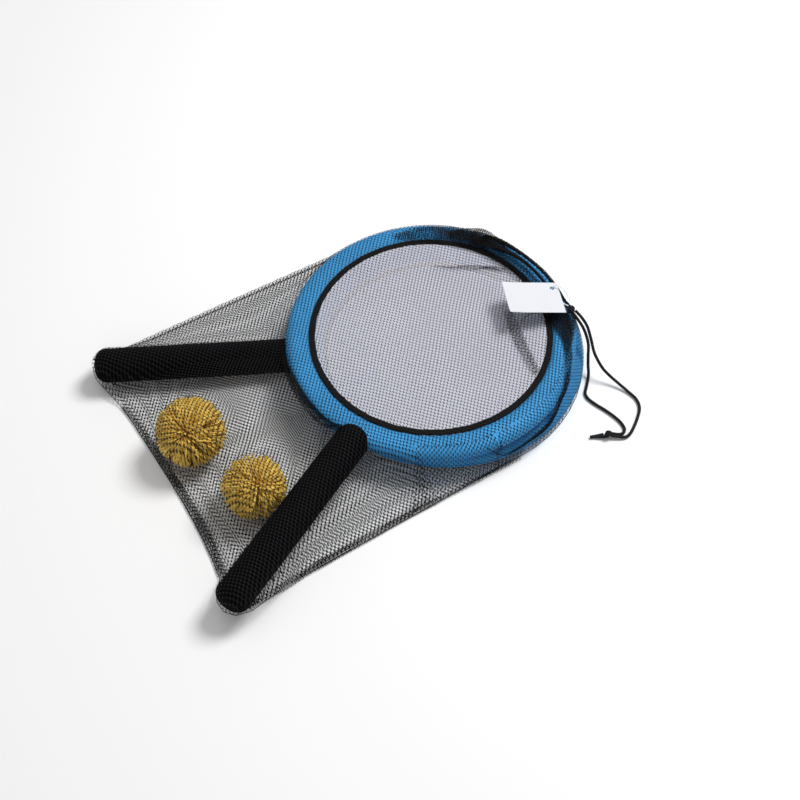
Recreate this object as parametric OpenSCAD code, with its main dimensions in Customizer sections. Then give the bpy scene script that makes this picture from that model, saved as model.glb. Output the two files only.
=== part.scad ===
// Net racket set: two padded round net rackets and two string balls in a drawstring net bag.
// The bag lies on the floor. X runs from its closed end to its drawn mouth, Z is up,
// and the origin is on the floor under the centre of the lower racket's hoop.

/* [Padded hoop] */
// Outer diameter of the padded hoop
hoop_od = 300; // [292:1:306]
// Width of the padding, seen from above
pad_w = 27; // [22:0.5:28]
// Thickness of the padding
pad_h = 18.5; // [16:0.5:19.5]
// Thickness of the blue cover cloth
cover_t = 1; // [0.6:0.1:1.6]
// Diameter of the hoop rod inside the padding
rod_d = 8; // [6:0.5:9]
// Wall of the moulded sleeve that holds the rod's two ends
sleeve_t = 2; // [1.5:0.25:2.5]
// Angle of hoop that the moulded sleeve covers, in degrees
sleeve_arc = 16; // [10:1:24]

/* [Face] */
// Distance from the padding in to the edge tape's inner edge
flap_w = 3.4; // [3:0.2:7]
// Width of the black edge tape
tape_w = 6.2; // [5.6:0.1:6.6]
// Thickness of the edge tape, folded over the net
tape_t = 2; // [1.6:0.1:2.2]
// Height of the net above the middle of the padding
net_rise = 8; // [7.8:0.1:8.4]
// Thickness of the face net
net_t = 0.9; // [0.6:0.1:1.1]
// Distance between the strands of the face net
net_pitch = 13.6; // [13.6:0.2:20]
// Width of a strand of the face net
net_strand = 1.6; // [1:0.1:3]

/* [Handle] */
// Distance from the hoop's centre to the end of the grip
reach = 360; // [340:1:364]
// Diameter of the foam grip
grip_d = 35.6; // [32:0.2:36]
// Radius of the grip's rounded ends
grip_round = 12; // [6:0.5:13]
// Distance from the hoop's centre to the start of the grip
grip_start = 137; // [134:0.5:140]
// Outer diameter of the handle tube
tube_d = 16; // [14:0.5:18]
// Wall of the handle tube
tube_wall = 1.2; // [0.8:0.1:1.6]
// Foam left between the tube's plug and the end of the grip
grip_end = 8; // [5:0.5:12]
// Length of the spigot inside the tube
spigot_len = 40; // [25:1:60]
// Length of the plug inside the tube
plug_len = 18; // [10:1:30]

/* [String balls] */
// Radius of the round ball
ball_1_r = 35.5; // [30:0.5:36]
// Radius of the ball beside the grip
ball_2_r = 32.5; // [28:0.5:32.5]
// Number of string ends modelled on each ball
string_count = 90; // [40:1:120]
// Diameter of a string bundle at the surface of a ball
string_d = 3.2; // [2:0.1:4]
// Length of the loose ends outside the packed strings
string_tip = 4.5; // [3:0.5:6]
// Diameter of the band that ties the strings
tie_d = 12; // [8:0.5:16]

/* [Rackets in the bag] */
// Direction of the lower racket's handle, in degrees from the mouth
lower_yaw = 153.9; // [153.5:0.1:154.2]
// Direction of the upper racket's handle, in degrees from the mouth
upper_yaw = 206.7; // [206.5:0.1:207]
// How far the upper hoop lies towards the closed end
stack_x = -12.8; // [-13.4:0.1:-12.6]
// How far the upper hoop lies to the side
stack_y = 0.2; // [-0.4:0.1:0.6]
// Slope of the upper racket along its handle, grip end down, in degrees
stack_tilt = 1.3; // [1.1:0.1:1.4]
// Slope of the upper racket across its handle, in degrees
stack_roll = -0.8; // [-1:0.1:-0.6]
// Gap between two pieces that rest on each other
rest_gap = 0.3; // [0.2:0.05:0.4]

/* [Bag] */
// Thickness of the bag's netting
bag_t = 0.8; // [0.6:0.1:1]
// Distance between the modelled strands of the net that the bag lies on
base_pitch = 31; // [30.6:0.2:31.4]
// Distance between the modelled strands of the net on top
bag_pitch = 34; // [30:1:44]
// Width of a modelled strand of the bag's netting
bag_strand = 1.6; // [1.2:0.1:2.4]
// Clearance of the draped net over what it covers
drape_gap = 2.4; // [2.3:0.1:2.8]
// Width of the sewn seam along the far side
far_seam_w = 6; // [4:0.5:8]
// Width of the seams along the near side and across the closed end
seam_w = 2.5; // [2:0.5:4]
// Distance from the lower hoop to the far side seam
far_gap = 28; // [28:0.5:34]
// Distance from the lower hoop to the near side seam
near_gap = 4; // [4:0.5:10]
// Distance from the lower hoop to the edge of the net drawn round it
wrap_gap = 4.5; // [4.5:0.5:10]

/* [Drawcord and tag] */
// Diameter of the drawcord
cord_d = 3.2; // [2.6:0.1:3.4]
// Wall of the hem that the drawcord runs in
hem_t = 0.7; // [0.5:0.1:0.9]
// Length of each cord end past the end knot
tail_len = 14; // [8:1:18]
// Length of the hang tag
tag_l = 62; // [50:1:64]
// Width of the hang tag
tag_w = 41; // [30:1:42]
// Thickness of the hang tag
tag_t = 0.6; // [0.4:0.1:0.8]
// Diameter of the punched hole in the tag
tag_hole_d = 4.4; // [3:0.2:6]
// Upward slope of the tag away from its loop, in degrees
tag_tilt = 13; // [12:0.5:16]

/* [Hidden] */
$fn = 48;

fit = 0.05;                              // clearance between pieces that fit in each other
soft_gap = 0.2;                          // clearance of foam cut round another piece
eps = 0.01;

// Racket sizes worked out from the above
hoop_r = hoop_od / 2;
face_r = hoop_r - pad_w - flap_w;        // radius of the open face inside the edge tape
pad_r = pad_h / 2;                       // radius of the padding's rounded edges
crest_r = hoop_r - pad_r;                // where the flat of the padding meets its outer rounding
flat_w = pad_w - pad_h;                  // width of the flat on the padding
rod_r = hoop_r - pad_w / 2 + 2;          // radius of the hoop rod's centre line
sleeve_d = rod_d + 2 * sleeve_t;
tube_bore = tube_d - 2 * tube_wall;
tube_start = hoop_r + fit;
tube_end = reach - grip_end - 2;
plug_head = 2;

// Where the rackets lie
lower_tilt = atan((grip_d - pad_h) / 2 / (grip_start + grip_round + crest_r));
lower_z = bag_t + rest_gap + pad_r + crest_r * sin(lower_tilt);
lower_slope = tan(lower_tilt) * [cos(lower_yaw), sin(lower_yaw)];
upper_side = [-sin(upper_yaw), cos(upper_yaw)];
upper_slope = -tan(stack_tilt) * [cos(upper_yaw), sin(upper_yaw)] + tan(stack_roll) * upper_side;
upper_xy = [stack_x, stack_y];
upper_z = lower_z + pad_h + rest_gap + upper_slope * upper_xy + norm(upper_slope - lower_slope) * hoop_r;
function lower_plane(p) = lower_z + lower_slope * p;
function upper_plane(p) = upper_z + upper_slope * (p - upper_xy);

// Where the balls lie
ball_cut = 0.5;
ball_rest = bag_t + rest_gap;
ball_1_at = [-277.5, 25, ball_rest + ball_1_r - ball_cut];
ball_2_at = [-253, -62.5, ball_rest + ball_2_r - ball_cut];

far_y = hoop_r + far_gap;
near_y = hoop_r + near_gap;
wrap_r = hoop_r + wrap_gap;
// Edge of the bag from the corner at the upper racket's grip round to the mouth and back.
// Each point is x, y and how high the grips hold that edge off the floor.
edge = concat(
    [[-343, -166, 26], [-336, -176, 26], [-318, -177, 25], [-296, -169, 17], [-272, -160, 8],
     [-245, -near_y - 2, 0], [-140, -near_y, 0]],
    [for (a = [-90:7.5:60]) [wrap_r * cos(a), wrap_r * sin(a), 0]],
    [[-20, far_y, 0], [-150, far_y + 1, 0], [-250, far_y + 1, 0], [-282, far_y + 1, 6], [-304, far_y, 14],
     [-318, far_y, 17], [-326, 171, 17], [-331, 160, 16], [-331, 150, 14], [-326, 135, 8], [-319, 118, 2]],
    [[-316, 85, 0], [-315, 30, 0], [-314, -20, 0], [-316, -75, 0], [-322, -118, 2], [-333, -134, 14],
     [-341, -150, 23]]
);
// The same edge where the net under the grips comes back to the floor
foot = concat(
    [[-318, -156], [-316, -160], [-308, -161], [-292, -160], [-268, -158], [-245, -near_y - 2], [-140, -near_y]],
    [for (a = [-90:7.5:60]) wrap_r * [cos(a), sin(a)]],
    [[-20, far_y], [-150, far_y + 1], [-250, far_y + 1], [-282, far_y + 1], [-300, far_y],
     [-306, 172], [-310, 166], [-313, 158], [-315, 148], [-316, 135], [-317, 118]],
    [[-316, 85], [-315, 30], [-314, -20], [-316, -75], [-321, -118], [-319, -134], [-318, -147]]
);

function at_line(p, a, b) = min(1, max(0, ((p - a) * (b - a)) / ((b - a) * (b - a))));
function flat(v) = [v.x, v.y];
// Distance from p to each side of the edge, with the height of the edge there
function edge_sides(p) = [for (i = [0:len(edge) - 1])
    let (a = edge[i], b = edge[(i + 1) % len(edge)], t = at_line(p, flat(a), flat(b)), q = a + t * (b - a))
    [norm(p - flat(q)), q.z]];
function nearest(sides, i = 0, best = 0) = i == len(sides) ? sides[best]
    : nearest(sides, i + 1, sides[i][0] < sides[best][0] ? i : best);

// Height of the net draped over each thing: its own round top, or a straight slope from its crest to the edge
function slope_to_edge(top, gap, b, low) = low + (top - low) * b / max(b + gap, eps);
function round_top(mid, r, gap) = gap >= r ? 0 : mid + sqrt(r * r - gap * gap);
function over_hoop(p, centre, mid, b, low) =
    let (r = norm(p - centre), gap = max(0, r - crest_r), reach_up = pad_r + drape_gap)
    max(round_top(mid, reach_up, gap), slope_to_edge(mid + reach_up, gap, b, low));
function over_ball(p, at, r, b, low) =
    let (gap = norm(p - [at.x, at.y]), reach_up = r + drape_gap)
    max(round_top(at.z, reach_up, gap), slope_to_edge(at.z + reach_up, gap, b, low));
grip_ridge = [hoop_r, reach - 15];       // the stretch of the handle's axis that the net ridges over
function over_grip(p, centre, yaw, z0, slope, b, low) =
    let (dir = [cos(yaw), sin(yaw)],
         s = min(grip_ridge[1], max(grip_ridge[0], (p - centre) * dir)),
         gap = norm(p - centre - s * dir),
         mid = z0 + slope * dir * s, reach_up = grip_d / 2 + drape_gap)
    max(round_top(mid, reach_up, gap), slope_to_edge(mid + reach_up, gap, b, low));
function drape(p) =
    let (side = nearest(edge_sides(p)), b = side[0], low = bag_t + side[1])
    max(low,
        over_hoop(p, [0, 0], lower_plane(p), b, low),
        over_hoop(p, upper_xy, upper_plane(p), b, low),
        over_grip(p, [0, 0], lower_yaw, lower_z, lower_slope, b, low),
        over_grip(p, upper_xy, upper_yaw, upper_z, upper_slope, b, low),
        over_ball(p, ball_1_at, ball_1_r, b, low),
        over_ball(p, ball_2_at, ball_2_r, b, low));

// Where a line of constant x (k = 0) or y (k = 1) meets the edge, as all the other coordinates
function crossings(k, value) = [for (i = [0:len(edge) - 1])
    let (a = edge[i], b = edge[(i + 1) % len(edge)])
    if ((a[k] - value) * (b[k] - value) < 0)
    a[1 - k] + (b[1 - k] - a[1 - k]) * (value - a[k]) / (b[k] - a[k])];
net_xs = [for (x = [-290:bag_pitch:130]) x];
net_ys = [for (y = [-135:bag_pitch:160]) y];
net_half = bag_strand / 2;
rim_clear = 0.1;                           // how far a strand ends inside the edge's own strand
net_step = 3.2;                          // spacing at which the drape is worked out
net_slack = 0.16;                        // bend at which a strand keeps a point
function on_line(k, value, s) = k == 0 ? [value, s] : [s, value];
function inside(x, y) = let (c = crossings(0, x)) len(c) > 1 && y > min(c) && y < max(c);
function joined(p) = nearest(edge_sides(p))[0] > rim_clear + 2 * net_half;
// Stretches of a strand between its crossings with the strands of the other set
function spans(k, value) =
    let (low = concat(crossings(k, value - net_half), crossings(k, value + net_half)),
         middle = (min(low) + max(low)) / 2,
         lo = max([for (c = low) if (c < middle) c]) + rim_clear,
         hi = min([for (c = low) if (c > middle) c]) - rim_clear,
         inner = [for (o = k == 0 ? net_ys : net_xs)
            if (o > lo + net_half && o < hi - net_half && joined(on_line(k, value, o))) o])
    [for (i = [0:len(inner)]) [i == 0 ? lo : inner[i - 1] + net_half, i == len(inner) ? hi : inner[i] - net_half,
        i == 0, i == len(inner)]];
// Points along a stretch, left out where the strand runs nearly straight
function stations(k, value, from, to) =
    let (n = max(1, ceil((to - from) / net_step)),
         at = [for (i = [0:n]) from + (to - from) * i / n],
         z = [for (q = at) drape(on_line(k, value, q))])
    [for (i = [0:n]) if (i == 0 || i == n || i % 6 == 0 || abs(z[i - 1] - 2 * z[i] + z[i + 1]) > net_slack) at[i]];
// The strand's corner at a place in plan: its underside, or its top
function low_at(p) = [p.x, p.y, drape(p)];
function high_at(v) = v + [0, 0, bag_t];
function two(a, b, c, d, flip) = flip ? [[a, c, b], [a, d, c]] : [[a, b, c], [a, c, d]];
function span_skin(k, value, span) =
    let (at = stations(k, value, span[0], span[1]), last = len(at) - 1, flip = k == 1,
         la = [for (q = at) low_at(on_line(k, value - net_half, q))],
         lb = [for (q = at) low_at(on_line(k, value + net_half, q))],
         ha = [for (v = la) high_at(v)], hb = [for (v = lb) high_at(v)])
    concat(
        [for (i = [0:last - 1]) each concat(
            two(ha[i], ha[i + 1], hb[i + 1], hb[i], flip), two(la[i], lb[i], lb[i + 1], la[i + 1], flip),
            two(la[i], la[i + 1], ha[i + 1], ha[i], flip), two(lb[i + 1], lb[i], hb[i], hb[i + 1], flip))],
        span[2] ? two(lb[0], la[0], ha[0], hb[0], flip) : [],
        span[3] ? two(la[last], lb[last], hb[last], ha[last], flip) : []);
function knot_skin(p) =
    let (c = [for (d = [[-1, -1], [1, -1], [1, 1], [-1, 1]]) low_at(p + net_half * d)],
         h = [for (v = c) high_at(v)])
    concat(two(h[0], h[3], h[2], h[1], false), two(c[0], c[1], c[2], c[3], false));

// Solid swept along points with a flat four-cornered section: width across, height up
module ribbon(points, width, height) {
    n = len(points);
    side = [for (i = [0:n - 1])
        let (a = points[max(i - 1, 0)], b = points[min(i + 1, n - 1)], d = [b[0] - a[0], b[1] - a[1]])
        [-d[1], d[0], 0] / max(norm(d), eps)];
    corners = [for (i = [0:n - 1]) each [
        points[i] - side[i] * width / 2, points[i] + side[i] * width / 2,
        points[i] + side[i] * width / 2 + [0, 0, height], points[i] - side[i] * width / 2 + [0, 0, height]]];
    polyhedron(corners, skin(n, 4), convexity = 6);
}
// The same section swept round a closed loop
module closed_ribbon(points, width, height) {
    n = len(points);
    out = [for (i = [0:n - 1])
        let (a = points[(i + n - 1) % n], b = points[(i + 1) % n], d = [b.x - a.x, b.y - a.y])
        [-d[1], d[0], 0] / norm(d)];
    corners = [for (i = [0:n - 1]) each [
        points[i] - out[i] * width / 2, points[i] + out[i] * width / 2,
        points[i] + out[i] * width / 2 + [0, 0, height], points[i] - out[i] * width / 2 + [0, 0, height]]];
    polyhedron(corners, [for (i = [0:n - 1], j = [0:3]) each [
        [i * 4 + j, (i + 1) % n * 4 + j, i * 4 + (j + 1) % 4],
        [i * 4 + (j + 1) % 4, (i + 1) % n * 4 + j, (i + 1) % n * 4 + (j + 1) % 4]]]);
}
// Triangles of a tube with n rings of m corners, closed at both ends
function skin(n, m) = concat(
    [for (i = [0:n - 2], j = [0:m - 1]) each [
        [i * m + j, (i + 1) * m + j, i * m + (j + 1) % m],
        [i * m + (j + 1) % m, (i + 1) * m + j, (i + 1) * m + (j + 1) % m]]],
    [for (j = [1:m - 2]) [0, j, j + 1]],
    [for (j = [1:m - 2]) [(n - 1) * m, (n - 1) * m + j + 1, (n - 1) * m + j]]);

// Round tube swept along points. The section turns with the line, with no twist.
cord_sides = 8;
function unit(v) = v / max(norm(v), eps);
function along(points, i) = unit(points[min(i + 1, len(points) - 1)] - points[max(i - 1, 0)]);
function frames(points, i = 0, last = [0, 0, 1]) =
    let (t = along(points, i), u = unit(last - (last * t) * t))
    i == len(points) - 1 ? [u] : concat([u], frames(points, i + 1, u));
module tube(points, r, first = [0, 0, 1]) {
    n = len(points);
    up = frames(points, 0, first);
    corners = [for (i = [0:n - 1], j = [0:cord_sides - 1])
        let (t = along(points, i), v = cross(t, up[i]), a = 360 * j / cord_sides)
        points[i] + r * (cos(a) * up[i] + sin(a) * v)];
    polyhedron(corners, skin(n, cord_sides), convexity = 6);
}
// Smooth line through points, with steps between each two of them
function smooth(p, steps) = concat([for (i = [0:len(p) - 2], s = [0:steps - 1])
    let (t = s / steps, a = p[max(i - 1, 0)], b = p[i], c = p[i + 1], d = p[min(i + 2, len(p) - 1)])
    0.5 * (2 * b + (c - a) * t + (2 * a - 5 * b + 4 * c - d) * t * t + (3 * b - 3 * c + d - a) * t * t * t)],
    [p[len(p) - 1]]);

// A place on the net over the upper hoop: angle, distance out from the hoop's crest, height above the net
function on_net(h) =
    let (p = upper_xy + (crest_r + h[1]) * [cos(h[0]), sin(h[0])])
    [p.x, p.y, upper_plane(p) + pad_r + drape_gap + bag_t + h[2]];
mouth_knot_at = on_net([-23.1, 6.3, 6.3]);
end_knot_at = [89, -177.5, 5.6];

// Routes of the drawcord, in millimetres: down from the mouth knot, then along the floor
right_route = concat(
    [for (p = [[2.5, -3.5, 0.3], [5.3, -10.9, -4.2], [8.1, -19.2, -12.7]]) mouth_knot_at + p],
    [[129, -87.5, 36.5], [126.5, -98.5, 27.5], [127.5, -111.5, 18], [131.5, -120.5, 11], [136, -130.5, 6],
     [140, -142.5, 2.6], [142, -155, 1.8], [138.5, -165.5, 1.8], [130, -174, 1.8], [119, -182, 1.8],
     [110, -187, 1.8], [102, -187.5, 2.6], [91, -180, 4.6]]);
left_route = concat(
    [for (p = [[-1, -3.5, -0.2], [1, -10.9, -5.2], [4.2, -19.3, -15.2]]) mouth_knot_at + p],
    [[125.5, -87.5, 33.5], [121, -95.5, 24], [119, -100, 14], [117.5, -104.2, 6], [113.8, -109, 2.2],
     [107.2, -115.6, 1.8], [101, -122, 1.8], [99.8, -129.5, 1.8], [102.5, -140, 1.8], [106, -149.5, 1.8],
     [109.2, -161, 1.8], [110.5, -171.5, 1.8], [108.3, -180.3, 1.8], [101, -182.7, 2.6], [91, -176.5, 4.6]]);
// The hem goes out round the crest of the upper hoop and comes back just inside it
hem_route = [for (h = [
    [-22.1, 6, 6], [-19, 4.4, 4.2], [-15.6, 2.6, 3.2], [-9.4, 1.5, 3], [-3, 0.6, 3], [3, 0, 3], [10, -0.8, 3],
    [17.5, -1, 3], [25, -0.8, 3], [30.5, -2, 3], [33, -5.5, 3], [32, -9.5, 3], [28, -11.5, 3], [22, -10, 3],
    [15.5, -7.6, 3], [9.5, -6.8, 3], [3, -6.5, 3], [-5, -6.2, 3], [-13, -5.2, 3], [-18, -1.5, 3.8],
    [-21.4, 3, 5.8]]) on_net(h)];

module in_lower() {
    translate([0, 0, lower_z]) rotate([0, 0, lower_yaw]) rotate([180, -lower_tilt, 0]) children();
}
module in_upper() {
    translate([upper_xy[0], upper_xy[1], upper_z]) rotate([0, 0, upper_yaw]) rotate([stack_roll, stack_tilt, 0]) children();
}

// Section of the padding: a bar with round edges, grown by g
module pad_section(g) {
    translate([crest_r, 0]) circle(r = pad_r + g);
    translate([crest_r - flat_w, 0]) circle(r = pad_r + g);
    translate([crest_r - flat_w, -pad_r - g]) square([flat_w, pad_h + 2 * g]);
}
module along_handle(from, to, d) {
    translate([from, 0, 0]) rotate([0, 90, 0]) cylinder(d = d, h = to - from);
}
module rod_sleeve_body(g) {
    rotate([0, 0, -sleeve_arc / 2]) rotate_extrude(angle = sleeve_arc) translate([rod_r, 0]) circle(d = sleeve_d + 2 * g);
}

module hoop_rod() {
    color("silver") rotate_extrude() translate([rod_r, 0]) circle(d = rod_d);
}
module rod_sleeve() {
    color("dimgray") difference() {
        union() {
            rod_sleeve_body(0);
            along_handle(rod_r, tube_start + spigot_len, tube_bore - 2 * fit);
        }
        rotate_extrude() translate([rod_r, 0]) circle(d = rod_d + 2 * fit);
    }
}
module hoop_foam() {
    color("gainsboro") difference() {
        rotate_extrude() difference() {
            pad_section(-cover_t - fit);
            translate([rod_r, 0]) circle(d = rod_d + 2 * fit);
        }
        rod_sleeve_body(soft_gap);
        along_handle(rod_r, hoop_r + 1, tube_bore + 2 * soft_gap);
    }
}
// The cover's inner edge is a flap that carries the tape and the net
flap_t = 0.7;
tape_low = net_rise - tape_t / 2;
module hoop_cover() {
    color("steelblue") difference() {
        rotate_extrude() difference() {
            union() {
                pad_section(0);
                translate([face_r + 0.4, tape_low - flap_t]) square([tape_w + 4, flap_t]);
            }
            pad_section(-cover_t);
        }
        along_handle(rod_r, hoop_r + 1, tube_bore + 2 * soft_gap);
    }
}
net_rim = 3.4;                           // how far the net reaches into the tape's fold
module edge_tape() {
    color("black") rotate_extrude() difference() {
        translate([face_r, tape_low]) square([tape_w, tape_t]);
        translate([face_r - 1, net_rise - net_t / 2 - fit]) square([1 + net_rim + fit, net_t + 2 * fit]);
    }
}
module face_net() {
    cells = floor(face_r / net_pitch);
    gap = net_pitch - net_strand;
    color("lavender") translate([0, 0, net_rise - net_t / 2]) linear_extrude(net_t) difference() {
        circle(r = face_r + net_rim);
        intersection() {
            circle(r = face_r + 0.4);
            for (i = [-cells:cells], j = [-cells:cells])
                if (norm([i, j]) * net_pitch < face_r)
                    translate([i, j] * net_pitch) square(gap, center = true);
        }
    }
}
module handle_tube() {
    color("silver") difference() {
        along_handle(tube_start, tube_end, tube_d);
        along_handle(tube_start - 1, tube_end + 1, tube_bore);
    }
}
module tube_plug() {
    color("dimgray") union() {
        along_handle(tube_end - plug_len, tube_end + plug_head, tube_bore - 2 * fit);
        along_handle(tube_end + fit, tube_end + plug_head, tube_d);
    }
}
module foam_grip() {
    long = reach - grip_start;
    r = grip_d / 2;
    color("#151515") difference() {
        translate([grip_start, 0, 0]) rotate([0, 90, 0]) rotate_extrude() intersection() {
            square([r, long]);
            union() {
                square([r - grip_round, long]);
                translate([0, grip_round]) square([r, long - 2 * grip_round]);
                translate([r - grip_round, grip_round]) circle(r = grip_round);
                translate([r - grip_round, long - grip_round]) circle(r = grip_round);
            }
        }
        rotate_extrude() union() {
            pad_section(fit);
            translate([crest_r - flat_w - 10, -pad_r - fit]) square([10, pad_h + 2 * fit]);
        }
        along_handle(tube_start - 5, tube_end + plug_head + fit, tube_d + 2 * fit);
    }
}
// The lower grip's soft foam is pressed in where the upper hoop lies on it
module pressed_grip() {
    color("#151515") difference() {
        in_lower() foam_grip();
        in_upper() rotate_extrude() pad_section(rest_gap);
    }
}

// Strings of a ball, drawn in at a tie: packed strings inside, loose ends all round
golden = 137.508;
module ball_strings(at, r) {
    core = r - string_tip;
    color("goldenrod") translate(at) difference() {
        union() {
            sphere(r = core);
            for (i = [0:string_count - 1]) {
                up = acos(1 - 2 * i / (string_count - 1));
                rotate([0, up, golden * i]) translate([0, 0, core - 2])
                    cylinder(d1 = string_d * 1.2, d2 = string_d * 0.7, h = string_tip + 2 - 0.3);
            }
        }
        sphere(d = tie_d + 1);
        translate([-r, -r, ball_cut - 3 * r]) cube(2 * r);
    }
}
module ball_tie(at) {
    color("sienna") translate(at) rotate_extrude() translate([tie_d / 2 - 2, 0]) circle(r = 2);
}

module bag_base_net() {
    cells = ceil(360 / base_pitch);
    gap = base_pitch - bag_strand;
    color("#202020") linear_extrude(bag_t) difference() {
        polygon(foot);
        intersection() {
            offset(delta = -far_seam_w) polygon(foot);
            for (i = [-cells:cells], j = [-cells:cells])
                translate([i + 0.5, j + 0.5] * base_pitch) square(gap, center = true);
        }
    }
}
// All the strands as one closed skin, the strand round the edge, and those that pass under the grips
module bag_top_net() {
    faces = concat(
        [for (k = [0, 1], value = k == 0 ? net_xs : net_ys, span = spans(k, value)) each span_skin(k, value, span)],
        [for (x = net_xs, y = net_ys) if (inside(x, y) && joined([x, y])) each knot_skin([x, y])]);
    color("#202020") union() {
        polyhedron([for (f = faces) each f], [for (i = [0:len(faces) - 1]) [3 * i, 3 * i + 1, 3 * i + 2]]);
        closed_ribbon([for (p = edge) [p.x, p.y, bag_t + p.z]], bag_strand, bag_t);
        for (i = [0:len(edge) - 1]) {
            from = edge[i] + [0, 0, bag_t];
            to = [foot[i].x, foot[i].y, bag_t + rest_gap];
            if (edge[i].z > 6) ribbon([from + (to - from) * 0.01, to], bag_strand, bag_t);
        }
    }
}
// A flat strip along points, to one side of them: thin where the nets go in, folded double past them
module seam(points, side) {
    n = len(points);
    color("black") union() {
        linear_extrude(bag_t) polygon(concat(points, [for (i = [n - 1:-1:0]) points[i] + side]));
        linear_extrude(2 * bag_t)
            polygon([for (p = points) p + 1.2 * side / norm(side), for (i = [n - 1:-1:0]) points[i] + side]);
    }
}
module bag_far_seam() { seam([[-280, far_y + 1], [-150, far_y + 1], [-22, far_y]], [0, far_seam_w]); }
module bag_near_seam() { seam([[-245, -near_y - 2], [-140, -near_y], [0, -wrap_r]], [0, -seam_w]); }
module bag_end_seam() {
    seam([[-317, 112], [-316, 85], [-315, 30], [-314, -20], [-316, -75], [-320.5, -112]], [-seam_w, 0]);
}

// Net bunched along the mouth: flat beads over the upper hoop's tape and below the knot, with pleats across them
gather_high = 1.6;
gather_sides = 10;
module pleats(out, half, from, to, turns) {
    mid = rest_gap + 1.2 * gather_high;
    corners = [for (i = [0:turns], j = [0:gather_sides - 1])
        let (fullness = sqrt(max(0.04, sin(180 * i / turns))) * (1 + 0.12 * cos(180 * i)),
             b = -360 * j / gather_sides)
        on_net([from + (to - from) * i / turns, out + half * fullness * cos(b), mid + gather_high * fullness * sin(b)])];
    polyhedron(corners, skin(turns + 1, gather_sides), convexity = 4);
}
module bag_gather() {
    color("#101010") union() {
        pleats(-20.3, 4.2, -4, 31, 24);
        pleats(-3, 11.5, -37.5, -24, 12);
    }
}
// The hem stops just short of the knot at each end
module bag_hem() {
    whole = smooth(hem_route, 2);
    line = [for (i = [2:len(whole) - 3]) whole[i]];
    last = len(line) - 1;
    color("#181818") difference() {
        tube(line, cord_d / 2 + 0.3 + hem_t);
        tube(concat([2 * line[0] - line[1]], line, [2 * line[last] - line[last - 1]]), cord_d / 2 + 0.3);
    }
}
module hem_cord() {
    color("black") tube(smooth(hem_route, 2), cord_d / 2);
}
// A compact knot: three turns of cord round each other
module knot(at, turn) {
    r = cord_d / 2;
    color("black") translate(at) union() {
        sphere(r = cord_d * 0.95);
        for (a = [0:60:120])
            rotate([turn + a, 35, a]) rotate_extrude() translate([cord_d * 0.8, 0]) circle(r = r);
    }
}
module mouth_knot() { knot(mouth_knot_at, 20); }
module end_knot() { knot(end_knot_at, 70); }
module cord_right() { color("black") tube(smooth(right_route, 2), cord_d / 2); }
module cord_left() { color("black") tube(smooth(left_route, 2), cord_d / 2); }
module cord_tails() {
    for (side = [-1, 1])
        color("black") translate(end_knot_at + [-3, 1.5 + 1.9 * side, -2.4]) rotate([0, 95, 152 + 8 * side])
            cylinder(d = cord_d - 0.2, h = tail_len);
}

tag_at = mouth_knot_at + [-29.5, 27.5, 8.9];
tag_yaw = -21;
module in_tag() {
    translate(tag_at) rotate([0, 0, tag_yaw]) rotate([0, tag_tilt, 0]) children();
}
tag_hole_at = [tag_l / 2 - 7, tag_w / 2 - 7.5];
module hang_tag() {
    color("white") in_tag() linear_extrude(tag_t) difference() {
        square([tag_l, tag_w], center = true);
        translate(tag_hole_at) circle(d = tag_hole_d);
    }
}
loop_route = [for (p = [
    [1.5, 4, 2.3], [4.5, 10.5, 3.8], [6, 19.5, 5.3], [4, 28, 6.8], [0.3, 31.3, 6.7], [-2.7, 31.8, 3.4],
    [-4.4, 29, 1.3], [-4.8, 21, 1.1], [-3.2, 11.5, 1.1], [-1.5, 4, 2.8]]) mouth_knot_at + p];
module tag_loop() { color("whitesmoke") tube(smooth(loop_route, 2), 0.6); }

in_lower() hoop_rod();  // lower_hoop_rod
in_lower() rod_sleeve();  // lower_rod_sleeve
in_lower() hoop_foam();  // lower_hoop_foam
in_lower() hoop_cover();  // lower_hoop_cover
in_lower() edge_tape();  // lower_edge_tape
in_lower() face_net();  // lower_face_net
in_lower() handle_tube();  // lower_handle_tube
in_lower() tube_plug();  // lower_tube_plug
pressed_grip();  // lower_foam_grip
in_upper() hoop_rod();  // upper_hoop_rod
in_upper() rod_sleeve();  // upper_rod_sleeve
in_upper() hoop_foam();  // upper_hoop_foam
in_upper() hoop_cover();  // upper_hoop_cover
in_upper() edge_tape();  // upper_edge_tape
in_upper() face_net();  // upper_face_net
in_upper() handle_tube();  // upper_handle_tube
in_upper() tube_plug();  // upper_tube_plug
in_upper() foam_grip();  // upper_foam_grip
ball_strings(ball_1_at, ball_1_r);  // ball_1_strings
ball_tie(ball_1_at);  // ball_1_tie
ball_strings(ball_2_at, ball_2_r);  // ball_2_strings
ball_tie(ball_2_at);  // ball_2_tie
bag_base_net();
bag_top_net();
bag_far_seam();
bag_near_seam();
bag_end_seam();
bag_gather();
bag_hem();
hem_cord();
mouth_knot();
cord_right();
cord_left();
end_knot();
cord_tails();
hang_tag();
tag_loop();
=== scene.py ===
import math

import bpy
import numpy as np
from mathutils import Matrix, Vector


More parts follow.
